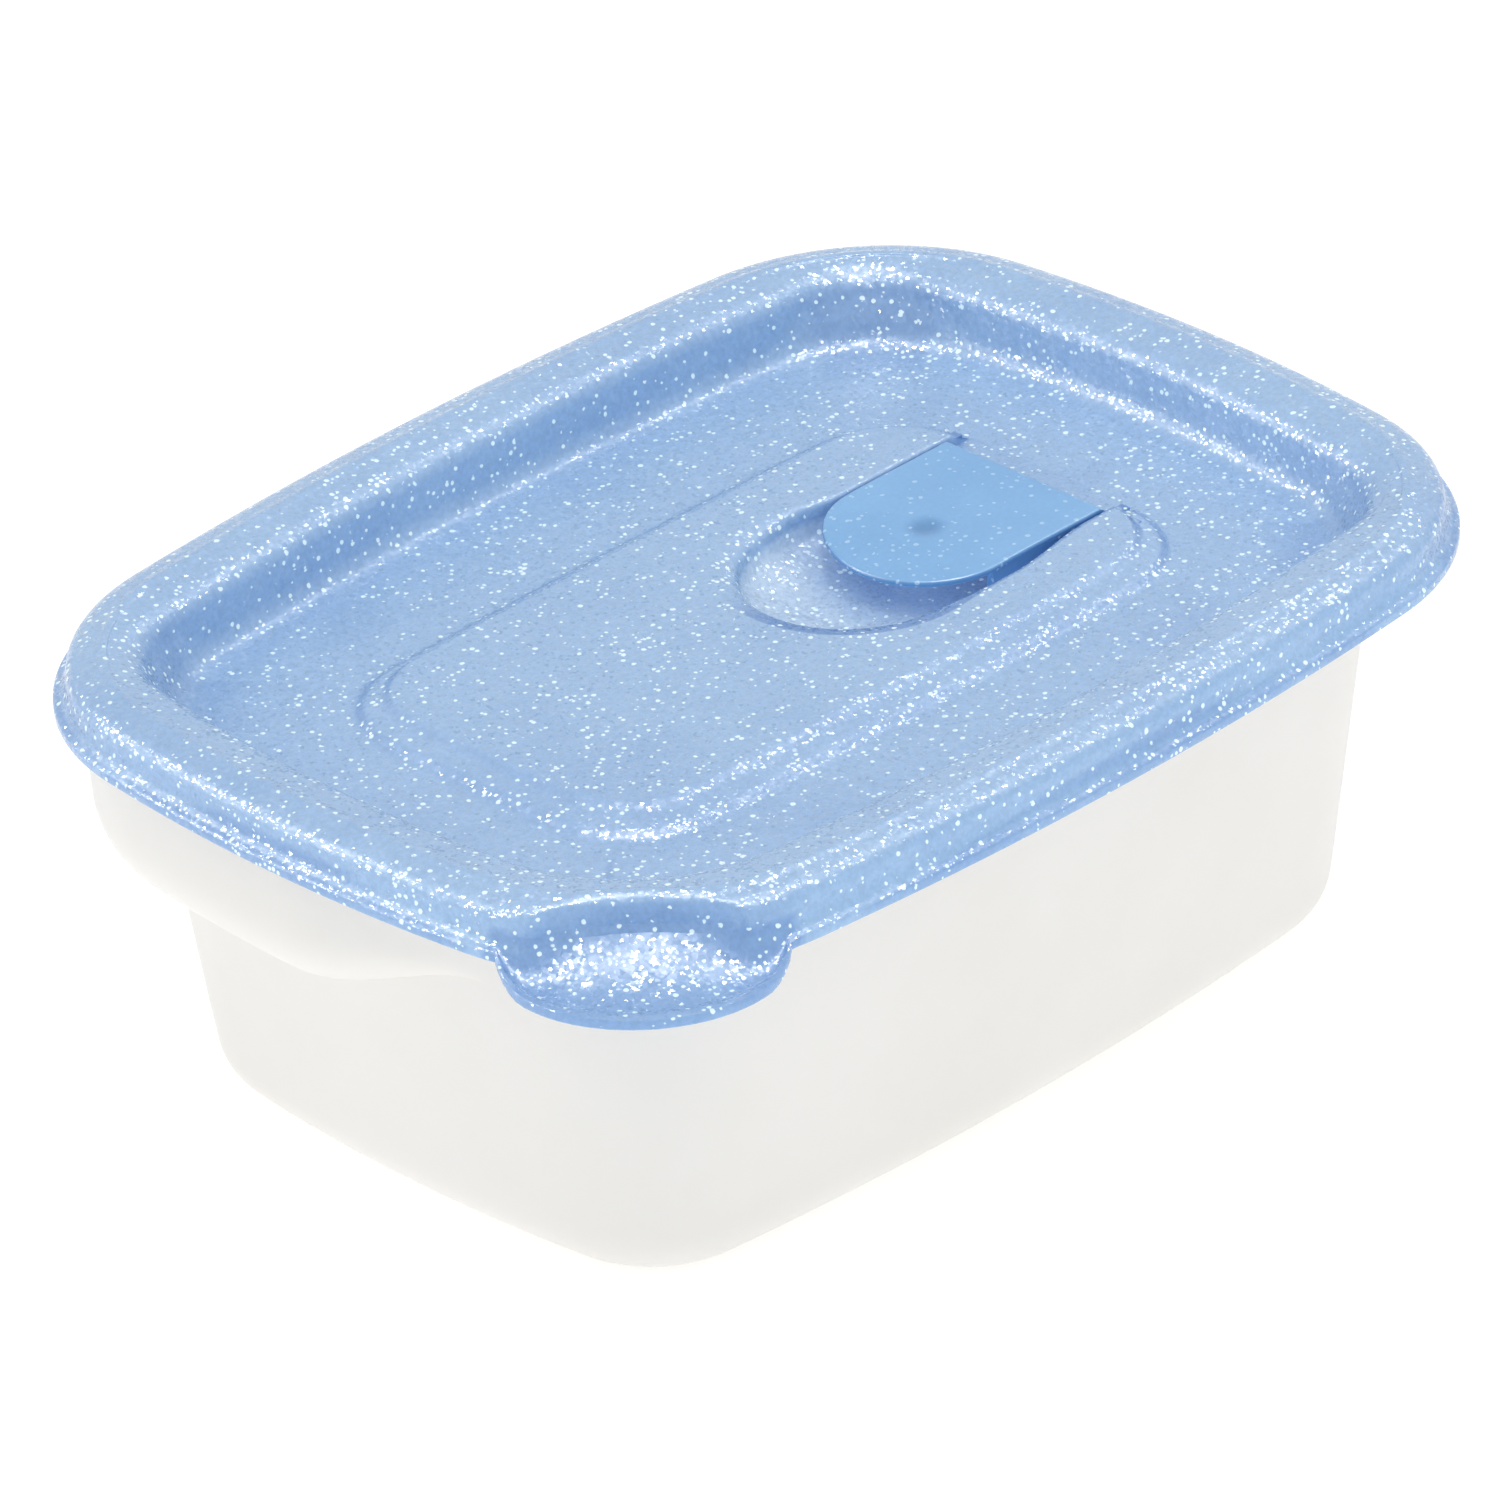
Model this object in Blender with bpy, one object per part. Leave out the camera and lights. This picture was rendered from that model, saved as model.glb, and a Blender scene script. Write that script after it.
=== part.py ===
"""Snap lid food container: milky tub, frosted blue snap lid and a pivoting valve flap.

World frame: +X along the long side towards the valve flap, +Z up, origin at the centre of the
base.  Profiles are written in millimetres as (inset from the lid edge, height above the lid
edge) and are scaled by MM when a mesh is made.
"""
import math

import bmesh
import bpy
from mathutils import Vector

for old in list(bpy.data.objects):
    bpy.data.objects.remove(old, do_unlink=True)

MM = 0.001

# Lid edge outline
LID_HALF_X = 78.0
LID_HALF_Y = 59.5
LID_CORNER = 32.0
LONG_BOW = 471.0
SHORT_BOW = 241.0

# Points on one quarter of every outline
LONG_STEPS = 3
CORNER_STEPS = 16
SHORT_STEPS = 2

# Heights
EDGE_Z = 51.0
TUB_WALL = 1.1
FLOOR_THICK = 1.2
BASE_FILLET = 7.5

# Tub wall insets from the lid edge
WALL_TOP_INSET = 9.9
WALL_BASE_INSET_X = 16.6
WALL_BASE_INSET_Y = 17.2

# Shoulder that swells out of the tub at the -X end
SHOULDER_FACE = 3.3
SHOULDER_FACE_DRAFT = 0.03
SHOULDER_TURN_Z = -10.5
SHOULDER_DEPTH_LOW = 1.5
SHOULDER_DEPTH_HIGH = 9.0
SHOULDER_SKIN = 1.3

# Raised island on the lid
ISLAND_X = 0.6
ISLAND_HALF_X = 44.9
ISLAND_HALF_Y = 23.8
ISLAND_CORNER = 10.5
ISLAND_SLOPE = 2.8
ISLAND_LONG_BOW = 1400.0
ISLAND_SHORT_BOW = 500.0
ISLAND_TOP = -0.3
PANEL_TOP = -2.0
LID_THICK = 1.2

# Finger pocket in the island
POCKET_NOSE_X = 15.0
POCKET_HALF_Y = 15.0
RAIL_Y = 13.0
POCKET_GENTLE_X = 13.0
POCKET_STEEP_X = 23.0
POCKET_END_X = 45.5
POCKET_STEPS = 20
SILL_Z = -1.9

# Valve flap
HINGE_X = 42.8
HINGE_Z = -2.0
FLAP_TIP_X = 16.1
FLAP_NOSE_X = 26.5
FLAP_BEND_X = 31.0
FLAP_END_X = 43.8
FLAP_HALF_Y = 12.7
FLAP_TIP_DROP = 1.2
FLAP_NOSE_STEPS = 10
FLAP_TOP = -0.3
FLAP_THICK = 0.8
FLAP_SKIRT_X = 25.5
FLAP_SKIRT_Z = -3.3
KNUCKLE_RADIUS = 1.6
PIN_RADIUS = 0.9
PIN_END_Y = 15.8
SOCKET_RADIUS = 1.25
SOCKET_END_Y = 16.2
VENT_X = 27.3
VENT_HOLE_RADIUS = 2.9
VENT_BOSS_RADIUS = 4.6
PLUG_RADIUS = 2.3

# Pull tab at the -X -Y corner
TAB_X = -61.9
TAB_Y = -43.2
TAB_REACH = 15.1
TAB_HALF_WIDTH = 16.9
TAB_RIM_Z = -0.7
TAB_ROOT_Z = 2.35
TAB_CUT_DEPTH = 4.3
DISH_FOOT = 1.58
DISH_HALF_TURN = math.radians(24.0)
DISH_SHIFT = math.radians(1.0)
CUT_EASE = 0.3
CUT_SHIFT = math.radians(3.0)


def make_collection(name):
    made = bpy.data.collections.new(name)
    bpy.context.scene.collection.children.link(made)
    return made


MODEL = make_collection("snap_lid_food_container")
CUTTERS = make_collection("cutters")


def material(name, colour, roughness):
    """Opaque Principled material."""
    made = bpy.data.materials.new(name)
    made.use_nodes = True
    shader = made.node_tree.nodes["Principled BSDF"]
    shader.inputs["Base Color"].default_value = (*colour, 1.0)
    shader.inputs["Roughness"].default_value = roughness
    shader.inputs["Metallic"].default_value = 0.0
    made.diffuse_color = (*colour, 1.0)
    return made


MILKY = material("milky_plastic", (0.86, 0.85, 0.80), 0.42)
FROSTED = material("frosted_blue_plastic", (0.36, 0.54, 0.78), 0.48)
CLEAR_BLUE = material("valve_blue_plastic", (0.24, 0.49, 0.78), 0.30)


# ---------------------------------------------------------------- outlines

def corner_centre(half_x, half_y, corner, long_bow, short_bow):
    """Centre of the corner arc that joins the two bowed sides in the +X +Y quarter."""
    long_centre = Vector((0.0, half_y - long_bow))
    short_centre = Vector((half_x - short_bow, 0.0))
    reach_long = long_bow - corner
    reach_short = short_bow - corner
    span = short_centre - long_centre
    gap = span.length
    along = (reach_long ** 2 - reach_short ** 2 + gap ** 2) / (2.0 * gap)
    across = math.sqrt(reach_long ** 2 - along ** 2)
    unit = span / gap
    side = Vector((unit.y, -unit.x))
    return long_centre + unit * along + side * across


def arc(centre, radius, start, end, steps):
    """Points on an arc without its last point."""
    points = []
    for i in range(steps):
        angle = start + (end - start) * i / steps
        points.append(Vector((centre[0] + radius * math.cos(angle),
                              centre[1] + radius * math.sin(angle))))
    return points


def quarter_outline(half_x, half_y, corner, long_bow, short_bow):
    """The +X +Y quarter of a rounded rectangle with softly bowed sides."""
    centre = corner_centre(half_x, half_y, corner, long_bow, short_bow)
    long_centre = (0.0, half_y - long_bow)
    short_centre = (half_x - short_bow, 0.0)
    turn_short = math.atan2(centre.y - short_centre[1], centre.x - short_centre[0])
    turn_long = math.atan2(centre.y - long_centre[1], centre.x - long_centre[0])
    quarter = arc(short_centre, short_bow, 0.0, turn_short, SHORT_STEPS)
    quarter += arc(centre, corner, turn_short, turn_long, CORNER_STEPS)
    quarter += arc(long_centre, long_bow, turn_long, math.pi / 2.0, LONG_STEPS)
    return quarter


def outline(half_x, half_y, corner, long_bow, short_bow, tab_corner=None):
    """Closed outline, counter-clockwise from +X; the -X -Y corner may have its own radius."""
    plain = quarter_outline(half_x, half_y, corner, long_bow, short_bow)
    tab = quarter_outline(half_x, half_y, tab_corner or corner, long_bow, short_bow)
    points = list(plain)
    points.append(Vector((0.0, half_y)))
    points += [Vector((-p.x, p.y)) for p in reversed(plain[1:])]
    points += [Vector((-p.x, -p.y)) for p in tab]
    points.append(Vector((0.0, -half_y)))
    points += [Vector((p.x, -p.y)) for p in reversed(plain[1:])]
    return points


def edge_outline(inset_x=0.0, inset_y=None, corner=None, tab_corner=None):
    """Outline inside the lid edge; corners stay parallel to it unless they are given."""
    if inset_y is None:
        inset_y = inset_x
    if corner is None:
        corner = LID_CORNER - (inset_x + inset_y) / 2.0
    return outline(LID_HALF_X - inset_x, LID_HALF_Y - inset_y, corner,
                   LONG_BOW - inset_y, SHORT_BOW - inset_x, tab_corner)


def island_outline(grow, set_in=0.0):
    """Outline of the island; set_in moves its -X and -Y sides only."""
    points = outline(ISLAND_HALF_X + grow - set_in / 2.0, ISLAND_HALF_Y + grow - set_in / 2.0,
                     ISLAND_CORNER + grow - set_in * 0.4, ISLAND_LONG_BOW, ISLAND_SHORT_BOW)
    return [Vector((p.x + ISLAND_X + set_in / 2.0, p.y + set_in / 2.0)) for p in points]


EDGE = edge_outline()
CORNER_CENTRE = corner_centre(LID_HALF_X, LID_HALF_Y, LID_CORNER, LONG_BOW, SHORT_BOW)


# ---------------------------------------------------------------- mesh helpers

def finish(name, mesh, owner, paint=None, origin=(0.0, 0.0, 0.0)):
    """Object from a bmesh written in millimetres about the given origin."""
    bmesh.ops.translate(mesh, verts=mesh.verts, vec=-Vector(origin))
    bmesh.ops.scale(mesh, verts=mesh.verts, vec=(MM, MM, MM))
    bmesh.ops.recalc_face_normals(mesh, faces=mesh.faces)
    data = bpy.data.meshes.new(name)
    mesh.to_mesh(data)
    mesh.free()
    made = bpy.data.objects.new(name, data)
    made.location = Vector(origin) * MM
    owner.objects.link(made)
    if paint is not None:
        data.materials.append(paint)
    if owner is CUTTERS:
        made.hide_render = True
        made.display_type = "WIRE"
    return made


def loft(rings):
    """Closed solid through rings of equal point count, flat caps at both ends.

    Each ring is a list of (x, y, z) points.  The rings are unlike one another, so no
    sweep or primitive gives this shape.
    """
    mesh = bmesh.new()
    rows = [[mesh.verts.new(p) for p in ring] for ring in rings]
    count = len(rows[0])
    for lower, upper in zip(rows, rows[1:]):
        for i in range(count):
            j = (i + 1) % count
            mesh.faces.new((lower[i], lower[j], upper[j], upper[i]))
    mesh.faces.new(list(reversed(rows[0])))
    mesh.faces.new(rows[-1])
    return mesh


def level(points, height):
    """Ring of an outline at a height above the lid edge."""
    return [Vector((p.x, p.y, height + EDGE_Z)) for p in points]


def block(low, high):
    """Box between two corners, in millimetres."""
    mesh = bmesh.new()
    bmesh.ops.create_cube(mesh, size=1.0)
    low = Vector(low)
    high = Vector(high)
    bmesh.ops.scale(mesh, verts=mesh.verts, vec=high - low)
    bmesh.ops.translate(mesh, verts=mesh.verts, vec=(low + high) / 2.0)
    return mesh


def rod(start, end, radius, segments=24, radius_end=None):
    """Round bar between two points, in millimetres."""
    start = Vector(start)
    end = Vector(end)
    if radius_end is None:
        radius_end = radius
    mesh = bmesh.new()
    bmesh.ops.create_cone(mesh, cap_ends=True, segments=segments, radius1=radius,
                          radius2=radius_end, depth=(end - start).length)
    turn = Vector((0.0, 0.0, 1.0)).rotation_difference((end - start).normalized())
    bmesh.ops.rotate(mesh, verts=mesh.verts, cent=(0, 0, 0), matrix=turn.to_matrix())
    bmesh.ops.translate(mesh, verts=mesh.verts, vec=(start + end) / 2.0)
    return mesh


def combine(target, tool, operation):
    """Exact Boolean of a tool object on a target object."""
    step = target.modifiers.new(operation.lower() + "_" + tool.name, "BOOLEAN")
    step.operation = operation
    step.solver = "EXACT"
    step.object = tool


def soften(made, degrees=40.0):
    """Smooth shading with sharp edges kept above an angle."""
    for face in made.data.polygons:
        face.use_smooth = True
    made.data.set_sharp_from_angle(angle=math.radians(degrees))


# ---------------------------------------------------------------- tub

def smooth_step(value):
    value = min(1.0, max(0.0, value))
    return value * value * (3.0 - 2.0 * value)


def shoulder_amount(point):
    """How far the shoulder stands out at a place on the edge, 0 to 1.

    Full round the -X +Y corner, gone before the pull tab corner and before mid length.
    """
    along_end = smooth_step((point.y + 22.0) / 27.0)
    along_side = smooth_step((2.0 - point.x) / 26.0)
    return min(along_end, along_side)


SHOULDER = [shoulder_amount(p) for p in EDGE]
INSET_CACHE = {}


def wall_inset(height):
    """Wall insets along X and Y at a height below the lid edge."""
    part = -height / EDGE_Z
    return (WALL_TOP_INSET + (WALL_BASE_INSET_X - WALL_TOP_INSET) * part,
            WALL_TOP_INSET + (WALL_BASE_INSET_Y - WALL_TOP_INSET) * part)


def edge_normal(i):
    """Outward direction of the edge outline at a point."""
    ahead = EDGE[(i + 1) % len(EDGE)] - EDGE[i - 1]
    return Vector((ahead.y, -ahead.x)).normalized()


NORMALS = [edge_normal(i) for i in range(len(EDGE))]


def shoulder_depth(i):
    """Height of the rounded underside of the shoulder at a point."""
    return SHOULDER_DEPTH_LOW + (SHOULDER_DEPTH_HIGH - SHOULDER_DEPTH_LOW) * SHOULDER[i]


def shoulder_swell(i, height, part):
    """Distance the wall is moved out by the shoulder; part runs 0 to 1 up its underside."""
    face = SHOULDER_FACE - SHOULDER_FACE_DRAFT * height
    full = SHOULDER[i] * (wall_inset(height)[0] - face)
    return full * math.sqrt(max(0.0, 1.0 - (1.0 - part) ** 2))


def wall_ring(height, skin=0.0):
    """Ring of the tub wall; skin moves it inward for the inner face."""
    ring = []
    part = 1.0 if height >= SHOULDER_TURN_Z else 0.0
    for i in range(len(EDGE)):
        ring.append(wall_point(i, height, part, skin))
    return ring


def shoulder_ring(part, skin=0.0, lift=0.0):
    """Ring that follows the curved underside of the shoulder."""
    ring = []
    for i in range(len(EDGE)):
        height = SHOULDER_TURN_Z - (1.0 - part) * shoulder_depth(i) + lift
        ring.append(wall_point(i, height, part, skin))
    return ring


def wall_point(i, height, part, skin):
    """Point i of the tub wall at a height below the lid edge."""
    inset_x, inset_y = wall_inset(height)
    key = (round(inset_x + skin, 4), round(inset_y + skin, 4))
    if key not in INSET_CACHE:
        INSET_CACHE[key] = edge_outline(*key)
    spot = INSET_CACHE[key][i] + NORMALS[i] * shoulder_swell(i, height, part)
    return Vector((spot.x, spot.y, height + EDGE_Z))


def fillet_rings(radius, sharp_x, sharp_y, floor):
    """Rings of the rounded base edge from the wall down to the flat."""
    draft = math.atan2(WALL_BASE_INSET_X - WALL_TOP_INSET, EDGE_Z)
    back = radius * (1.0 - math.sin(draft)) / math.cos(draft)
    rings = []
    for step in range(5):
        angle = draft + (math.pi / 2.0 - draft) * step / 4.0
        reach = back - radius * math.cos(angle)
        rings.append(level(edge_outline(sharp_x + reach, sharp_y + reach),
                           floor + radius * (1.0 - math.sin(angle))))
    return rings


def tab_turn(spot):
    """Angle of a place round the tab corner's centre, from the tab's middle line."""
    ray = spot + CORNER_CENTRE
    middle = math.atan2(TAB_Y + CORNER_CENTRE.y, TAB_X + CORNER_CENTRE.x)
    turn = math.atan2(ray.y, ray.x) - middle
    return (turn + math.pi) % (2.0 * math.pi) - math.pi


def corner_weight(full_turn, last_turn):
    """For every edge point, 1 near the middle of the tab's cut, fading to 0."""
    weights = []
    for spot in EDGE:
        turn = abs(tab_turn(spot) + CUT_SHIFT)
        weights.append(smooth_step((last_turn - turn) / (last_turn - full_turn)))
    return weights


RIM_CUT = corner_weight(math.radians(20.0), math.radians(29.0))


def rim_ring(row):
    """Ring of the rim: plain, over the shoulder, or drawn in beside the pull tab."""
    plain = edge_outline(row[0], None, row[2], LID_CORNER - row[0])
    ring = []
    for i, amount in enumerate(SHOULDER):
        spot = plain[i].lerp(EDGE[i] - NORMALS[i] * row[3], amount)
        height = row[1] + (row[4] - row[1]) * amount
        spot = spot.lerp(EDGE[i] - NORMALS[i] * row[5], RIM_CUT[i])
        height += (row[6] - height) * RIM_CUT[i]
        ring.append(Vector((spot.x, spot.y, height + EDGE_Z)))
    return ring


# Rim section up the outside: inset, height and corner radius where plain, inset and height
# over the full shoulder, inset and height beside the pull tab
RIM_OUTSIDE = (
    (9.75, 1.2, 20.2, 3.27, 0.1, 9.75, 1.2), (9.4, 2.5, 18.2, 3.24, 0.5, 9.7, 2.0),
    (8.8, 3.3, 17.9, 3.21, 0.9, 9.6, 2.6), (7.8, 3.7, 19.4, 3.18, 1.3, 9.5, 3.1),
    (5.6, 3.8, 24.7, 3.15, 1.7, 9.3, 3.5), (4.4, 3.6, 27.4, 3.12, 2.0, 9.15, 3.75),
    (4.0, 3.1, 28.0, 3.10, 2.3, 9.05, 3.9), (4.0, 2.0, 28.0, 3.07, 2.6, 9.0, 4.0),
    (3.5, 1.75, 28.5, 3.04, 2.9, 8.95, 4.1), (3.0, 2.0, 29.0, 3.02, 3.2, 8.9, 4.25),
    (3.0, 4.0, 29.0, 3.0, 4.0, 8.9, 4.5), (3.3, 4.65, 28.7, 3.25, 4.65, 9.0, 4.75),
    (3.9, 4.95, 28.1, 3.6, 4.9, 9.2, 4.9),
)
# Rim section down the inside
RIM_INSIDE = (
    (7.3, 4.95, 20.1, 3.95, 4.85, 9.6, 4.93), (8.6, 4.5, 18.1, 4.2, 4.6, 10.0, 4.7),
    (9.6, 3.85, 17.1, 4.3, 4.1, 10.3, 4.1), (10.3, 2.8, 17.6, 4.33, 3.2, 10.6, 3.0),
    (10.75, 1.5, 19.0, 4.36, 1.6, 10.75, 1.5),
)


def build_tub():
    """One moulding: floor, tapered wall, shoulder and rolled rim."""
    floor = -EDGE_Z
    outer_base = fillet_rings(BASE_FILLET, WALL_BASE_INSET_X, WALL_BASE_INSET_Y, floor)
    rings = list(reversed(outer_base))
    for part in (0.0, 0.03, 0.12, 0.26, 0.44, 0.64, 0.84, 1.0):
        rings.append(shoulder_ring(part))
    for height in (-5.5, -0.6):
        rings.append(wall_ring(height))
    rings += [rim_ring(row) for row in RIM_OUTSIDE + RIM_INSIDE]
    for height in (-0.6, -5.5):
        rings.append(wall_ring(height, TUB_WALL))
    for part in (1.0, 0.84, 0.64, 0.44, 0.26, 0.12, 0.03, 0.0):
        rings.append(shoulder_ring(part, TUB_WALL, SHOULDER_SKIN))
    rings += fillet_rings(BASE_FILLET - TUB_WALL, WALL_BASE_INSET_X + TUB_WALL - 0.15,
                          WALL_BASE_INSET_Y + TUB_WALL - 0.15, floor + FLOOR_THICK)
    made = finish("tub", loft(rings), MODEL, MILKY)
    soften(made)
    return made


# ---------------------------------------------------------------- lid

# Edge of the lid from underneath up to the foot of the skirt: reach past the edge outline
# and height, where there is no tab
FLANGE_ROWS = (
    (-1.10, 0.0), (-0.80, 0.0), (-0.50, 0.0), (-0.15, 0.0), (0.0, 0.18), (0.0, 0.92),
    (-0.16, 1.16), (-0.38, 1.30), (-0.55, 1.39), (-0.70, 1.47), (-0.85, 1.58),
    (-1.02, 1.72), (-1.20, 1.92), (-1.42, 2.25), (-1.58, 3.0),
)
# Section from the skirt over the bead to the recess floor: inset, height, corner radius,
# corner radius at the tab corner, then inset and height of the wall cut by the tab's dish
TOP_ROWS = (
    (1.6, 3.9, 30.4, 30.4, 0.2, 3.2), (1.75, 4.6, 30.25, 30.25, 0.3, 3.9),
    (2.1, 5.15, 29.9, 29.9, 0.40, 4.4), (2.65, 5.57, 29.35, 29.35, 0.55, 5),
    (3.4, 5.88, 28.6, 28.6, 0.80, 5.5), (4.9, 6.2, 27.1, 27.5, 1.42, 6.12),
    (5.45, 6.38, 26.55, 28.0, 1.80, 6.32), (5.95, 6.5, 26.05, 28.6, 2.25, 6.43),
    (6.7, 6.45, 24.6, 28.0, 2.75, 6.42), (7.5, 6.28, 21.5, 27.6, 2.4, 6.28),
    (8.8, 6.12, 18.2, 25.9, 3.3, 6.12), (10.2, 5.9, 14.2, 24.2, 4.6, 5.9),
    (11.2, 5.5, 12.4, 23.9, 5.9, 5.5), (11.95, 4.95, 12.2, 24.0, 7.0, 4.95),
    (12.4, 4.2, 13.0, 23.5, 7.4, 4.2), (12.8, 2.0, 16.8, 23.0, 7.8, 2.0),
    (12.95, 0.6, 19.5, 23.0, 8.0, 0.6), (13.2, -0.4, 20.5, 23.0, 8.3, -0.4),
    (13.7, -1.25, 21.3, 23.2, 9.0, -1.25), (14.5, -1.8, 22.0, 23.6, 10.5, -1.8),
    (15.6, -2.0, 22.5, 24.0, 12.2, -2.0),
)
# The same section underneath, from the recess floor back to the flange
UNDER_ROWS = (
    (15.4, -3.2, 22.5, 24.0, 11.9, -3.2), (13.9, -3.0, 21.9, 23.6, 9.9, -3.0),
    (12.7, -2.2, 21.0, 23.2, 8.2, -2.2), (12.0, -1.0, 20.0, 23.0, 7.4, -1.0),
    (11.65, 0.6, 18.6, 23.0, 7.0, 0.6), (11.5, 2.0, 16.0, 23.1, 6.7, 2.0),
    (11.4, 3.1, 14.4, 23.3, 6.5, 3.1), (11.1, 3.9, 13.8, 23.5, 6.0, 3.9),
    (10.5, 4.55, 14.4, 23.8, 5.2, 4.55), (9.6, 4.95, 17.0, 24.4, 4.3, 5.0),
    (8.4, 5.2, 20.5, 25.0, 3.8, 5.25), (6.8, 5.35, 24.6, 26.0, 3.05, 5.35),
    (4.4, 5.3, 27.6, 27.6, 2.65, 5.2), (3.4, 5.1, 28.6, 28.6, 2.35, 4.9),
    (2.85, 4.8, 29.15, 29.15, 2.1, 4.4), (2.65, 4.3, 29.35, 29.35, 1.9, 3.6),
    (2.6, 2.9, 29.4, 29.4, 1.65, 2.6), (2.3, 2.3, 29.7, 29.7, 1.35, 1.6),
    (1.5, 1.9, 30.5, 30.5, 0.55, 1.15), (1.1, 1.3, 30.9, 30.9, -0.25, 0.9),
)


def dish_reach(turn):
    """How far the tab's dish cuts into the bead on one ray, 0 to 1."""
    part = min(1.0, abs(turn + DISH_SHIFT) / DISH_HALF_TURN)
    return abs(math.cos(part * math.pi / 2.0)) ** 0.85


TAB_CUT = [dish_reach(tab_turn(spot)) for spot in EDGE]


def tab_tip(turn, away):
    """Distance the oval tab stands out past the lid corner on one ray."""
    cosine = math.cos(turn) / TAB_REACH
    sine = math.sin(turn) / TAB_HALF_WIDTH
    square = cosine ** 2 + sine ** 2
    middle = cosine * away / TAB_REACH
    inside = middle ** 2 - square * ((away / TAB_REACH) ** 2 - 1.0)
    if inside <= 0.0:
        return -1.0
    return (middle + math.sqrt(inside)) / square - LID_CORNER


def tab_rows(tip, cut):
    """Section of the spoon-shaped tab on one ray, row for row with FLANGE_ROWS."""
    full = smooth_step(tip / 4.5)
    rim = 0.95 + (TAB_RIM_Z - 0.95) * full
    bottom = rim - 0.85 - 0.55 * full
    low = rim - 0.45 * full
    start = -1.45 - TAB_CUT_DEPTH * cut
    crest = tip - 0.55 - 0.35 * full
    rows = [(-1.10 - 3.5 * cut, 0.35 * cut), (-0.5 + 0.15 * tip - 2.8 * cut, 0.3 * bottom),
            (0.45 * tip, 0.85 * bottom), (tip - 0.18, bottom + 0.06), (tip, bottom + 0.25),
            (tip, rim - 0.32), (tip - 0.16, rim - 0.08), (crest, rim)]
    for part in (0.93, 0.84, 0.68, 0.44, 0.20):
        reach = start + (crest - start) * part
        bowl = low + (TAB_ROOT_Z - low) * max(0.0, 1.0 - part / 0.72) ** 2
        lip = (rim - low) * smooth_step((part - 0.84) / 0.15)
        rows.append((reach, bowl + lip))
    rows += [(start, TAB_ROOT_Z), (-DISH_FOOT - TAB_CUT_DEPTH * cut, TAB_ROOT_Z + 0.5)]
    return rows


def flange_rings():
    """Rings of the lid edge; round the tab corner they sweep out into the pull tab."""
    away = math.hypot(TAB_X + CORNER_CENTRE.x, TAB_Y + CORNER_CENTRE.y)
    rings = [[] for _ in FLANGE_ROWS]
    for i, spot in enumerate(EDGE):
        turn = tab_turn(spot)
        tip = tab_tip(turn, away) if abs(turn) < math.radians(40.0) else -1.0
        rows = FLANGE_ROWS
        if tip > 0.0:
            amount = smooth_step(tip / 1.2)
            rows = [(a[0] + (b[0] - a[0]) * amount, a[1] + (b[1] - a[1]) * amount)
                    for a, b in zip(FLANGE_ROWS, tab_rows(tip, TAB_CUT[i]))]
        for ring, (reach, height) in zip(rings, rows):
            point = spot + NORMALS[i] * reach
            ring.append(Vector((point.x, point.y, height + EDGE_Z)))
    return rings


def cut_back(lack):
    """Distance a ring gives way to the dish; eased where the cut begins."""
    if abs(lack) < CUT_EASE:
        return (lack + CUT_EASE) ** 2 / (4.0 * CUT_EASE)
    return max(0.0, lack)


def section_rings(rows):
    """Rings of the bead and recess; beside the tab they stay clear of the dish's foot."""
    rings = []
    for inset, z, corner, tab_corner, gap, cut_z in rows:
        ring = []
        for i, spot in enumerate(edge_outline(inset, None, corner, tab_corner)):
            foot = DISH_FOOT + TAB_CUT_DEPTH * TAB_CUT[i]
            moved = cut_back(foot + gap - (EDGE[i] - spot).dot(NORMALS[i]))
            moved *= smooth_step(TAB_CUT[i] / 0.2)
            height = z + (cut_z - z) * smooth_step(moved / 1.2)
            spot = spot - NORMALS[i] * moved
            ring.append(Vector((spot.x, spot.y, height + EDGE_Z)))
        rings.append(ring)
    return rings


# Island section: reach past its outline, how far the near sides are set in, height
ISLAND_ROWS = (
    (ISLAND_SLOPE, -1.7, PANEL_TOP), (1.9, -1.7, PANEL_TOP + 0.42),
    (1.15, -1.6, PANEL_TOP + 0.84), (0.4, -0.4, PANEL_TOP + 1.02),
    (0.05, 0.3, ISLAND_TOP - 0.40), (-0.4, 1.1, ISLAND_TOP),
)


def lid_shell():
    """Edge, tab, bead, recessed panel and raised island; the last ring over the top."""
    rings = flange_rings() + section_rings(TOP_ROWS)
    rings += [level(island_outline(grow, set_in), z) for grow, set_in, z in ISLAND_ROWS]
    cap_at = len(rings) - 1
    rings.append(level(island_outline(-1.5, 0.8), ISLAND_TOP - LID_THICK))
    rings.append(level(island_outline(ISLAND_SLOPE - 1.2), PANEL_TOP - LID_THICK))
    rings += section_rings(UNDER_ROWS)
    return rings, cap_at


def ring_solid(rings, cap_at):
    """Closed skin whose two sides meet in flat faces after ring cap_at."""
    mesh = bmesh.new()
    rows = [[mesh.verts.new(p) for p in ring] for ring in rings]
    count = len(rows[0])
    for k, (lower, upper) in enumerate(zip(rows, rows[1:])):
        if k == cap_at:
            continue
        for i in range(count):
            j = (i + 1) % count
            mesh.faces.new((lower[i], lower[j], upper[j], upper[i]))
    for i in range(count):
        j = (i + 1) % count
        mesh.faces.new((rows[-1][i], rows[-1][j], rows[0][j], rows[0][i]))
    mesh.faces.new(rows[cap_at])
    mesh.faces.new(list(reversed(rows[cap_at + 1])))
    return mesh


def pocket_half(x, side):
    """Half width of the pocket: wide round the finger, close to the flap at the hinge."""
    if side > 0.0:
        return POCKET_HALF_Y + (RAIL_Y - POCKET_HALF_Y) * smooth_step((x - 17.0) / 9.0)
    return POCKET_HALF_Y + (RAIL_Y - POCKET_HALF_Y) * smooth_step((x - 26.0) / 15.0)


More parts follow.
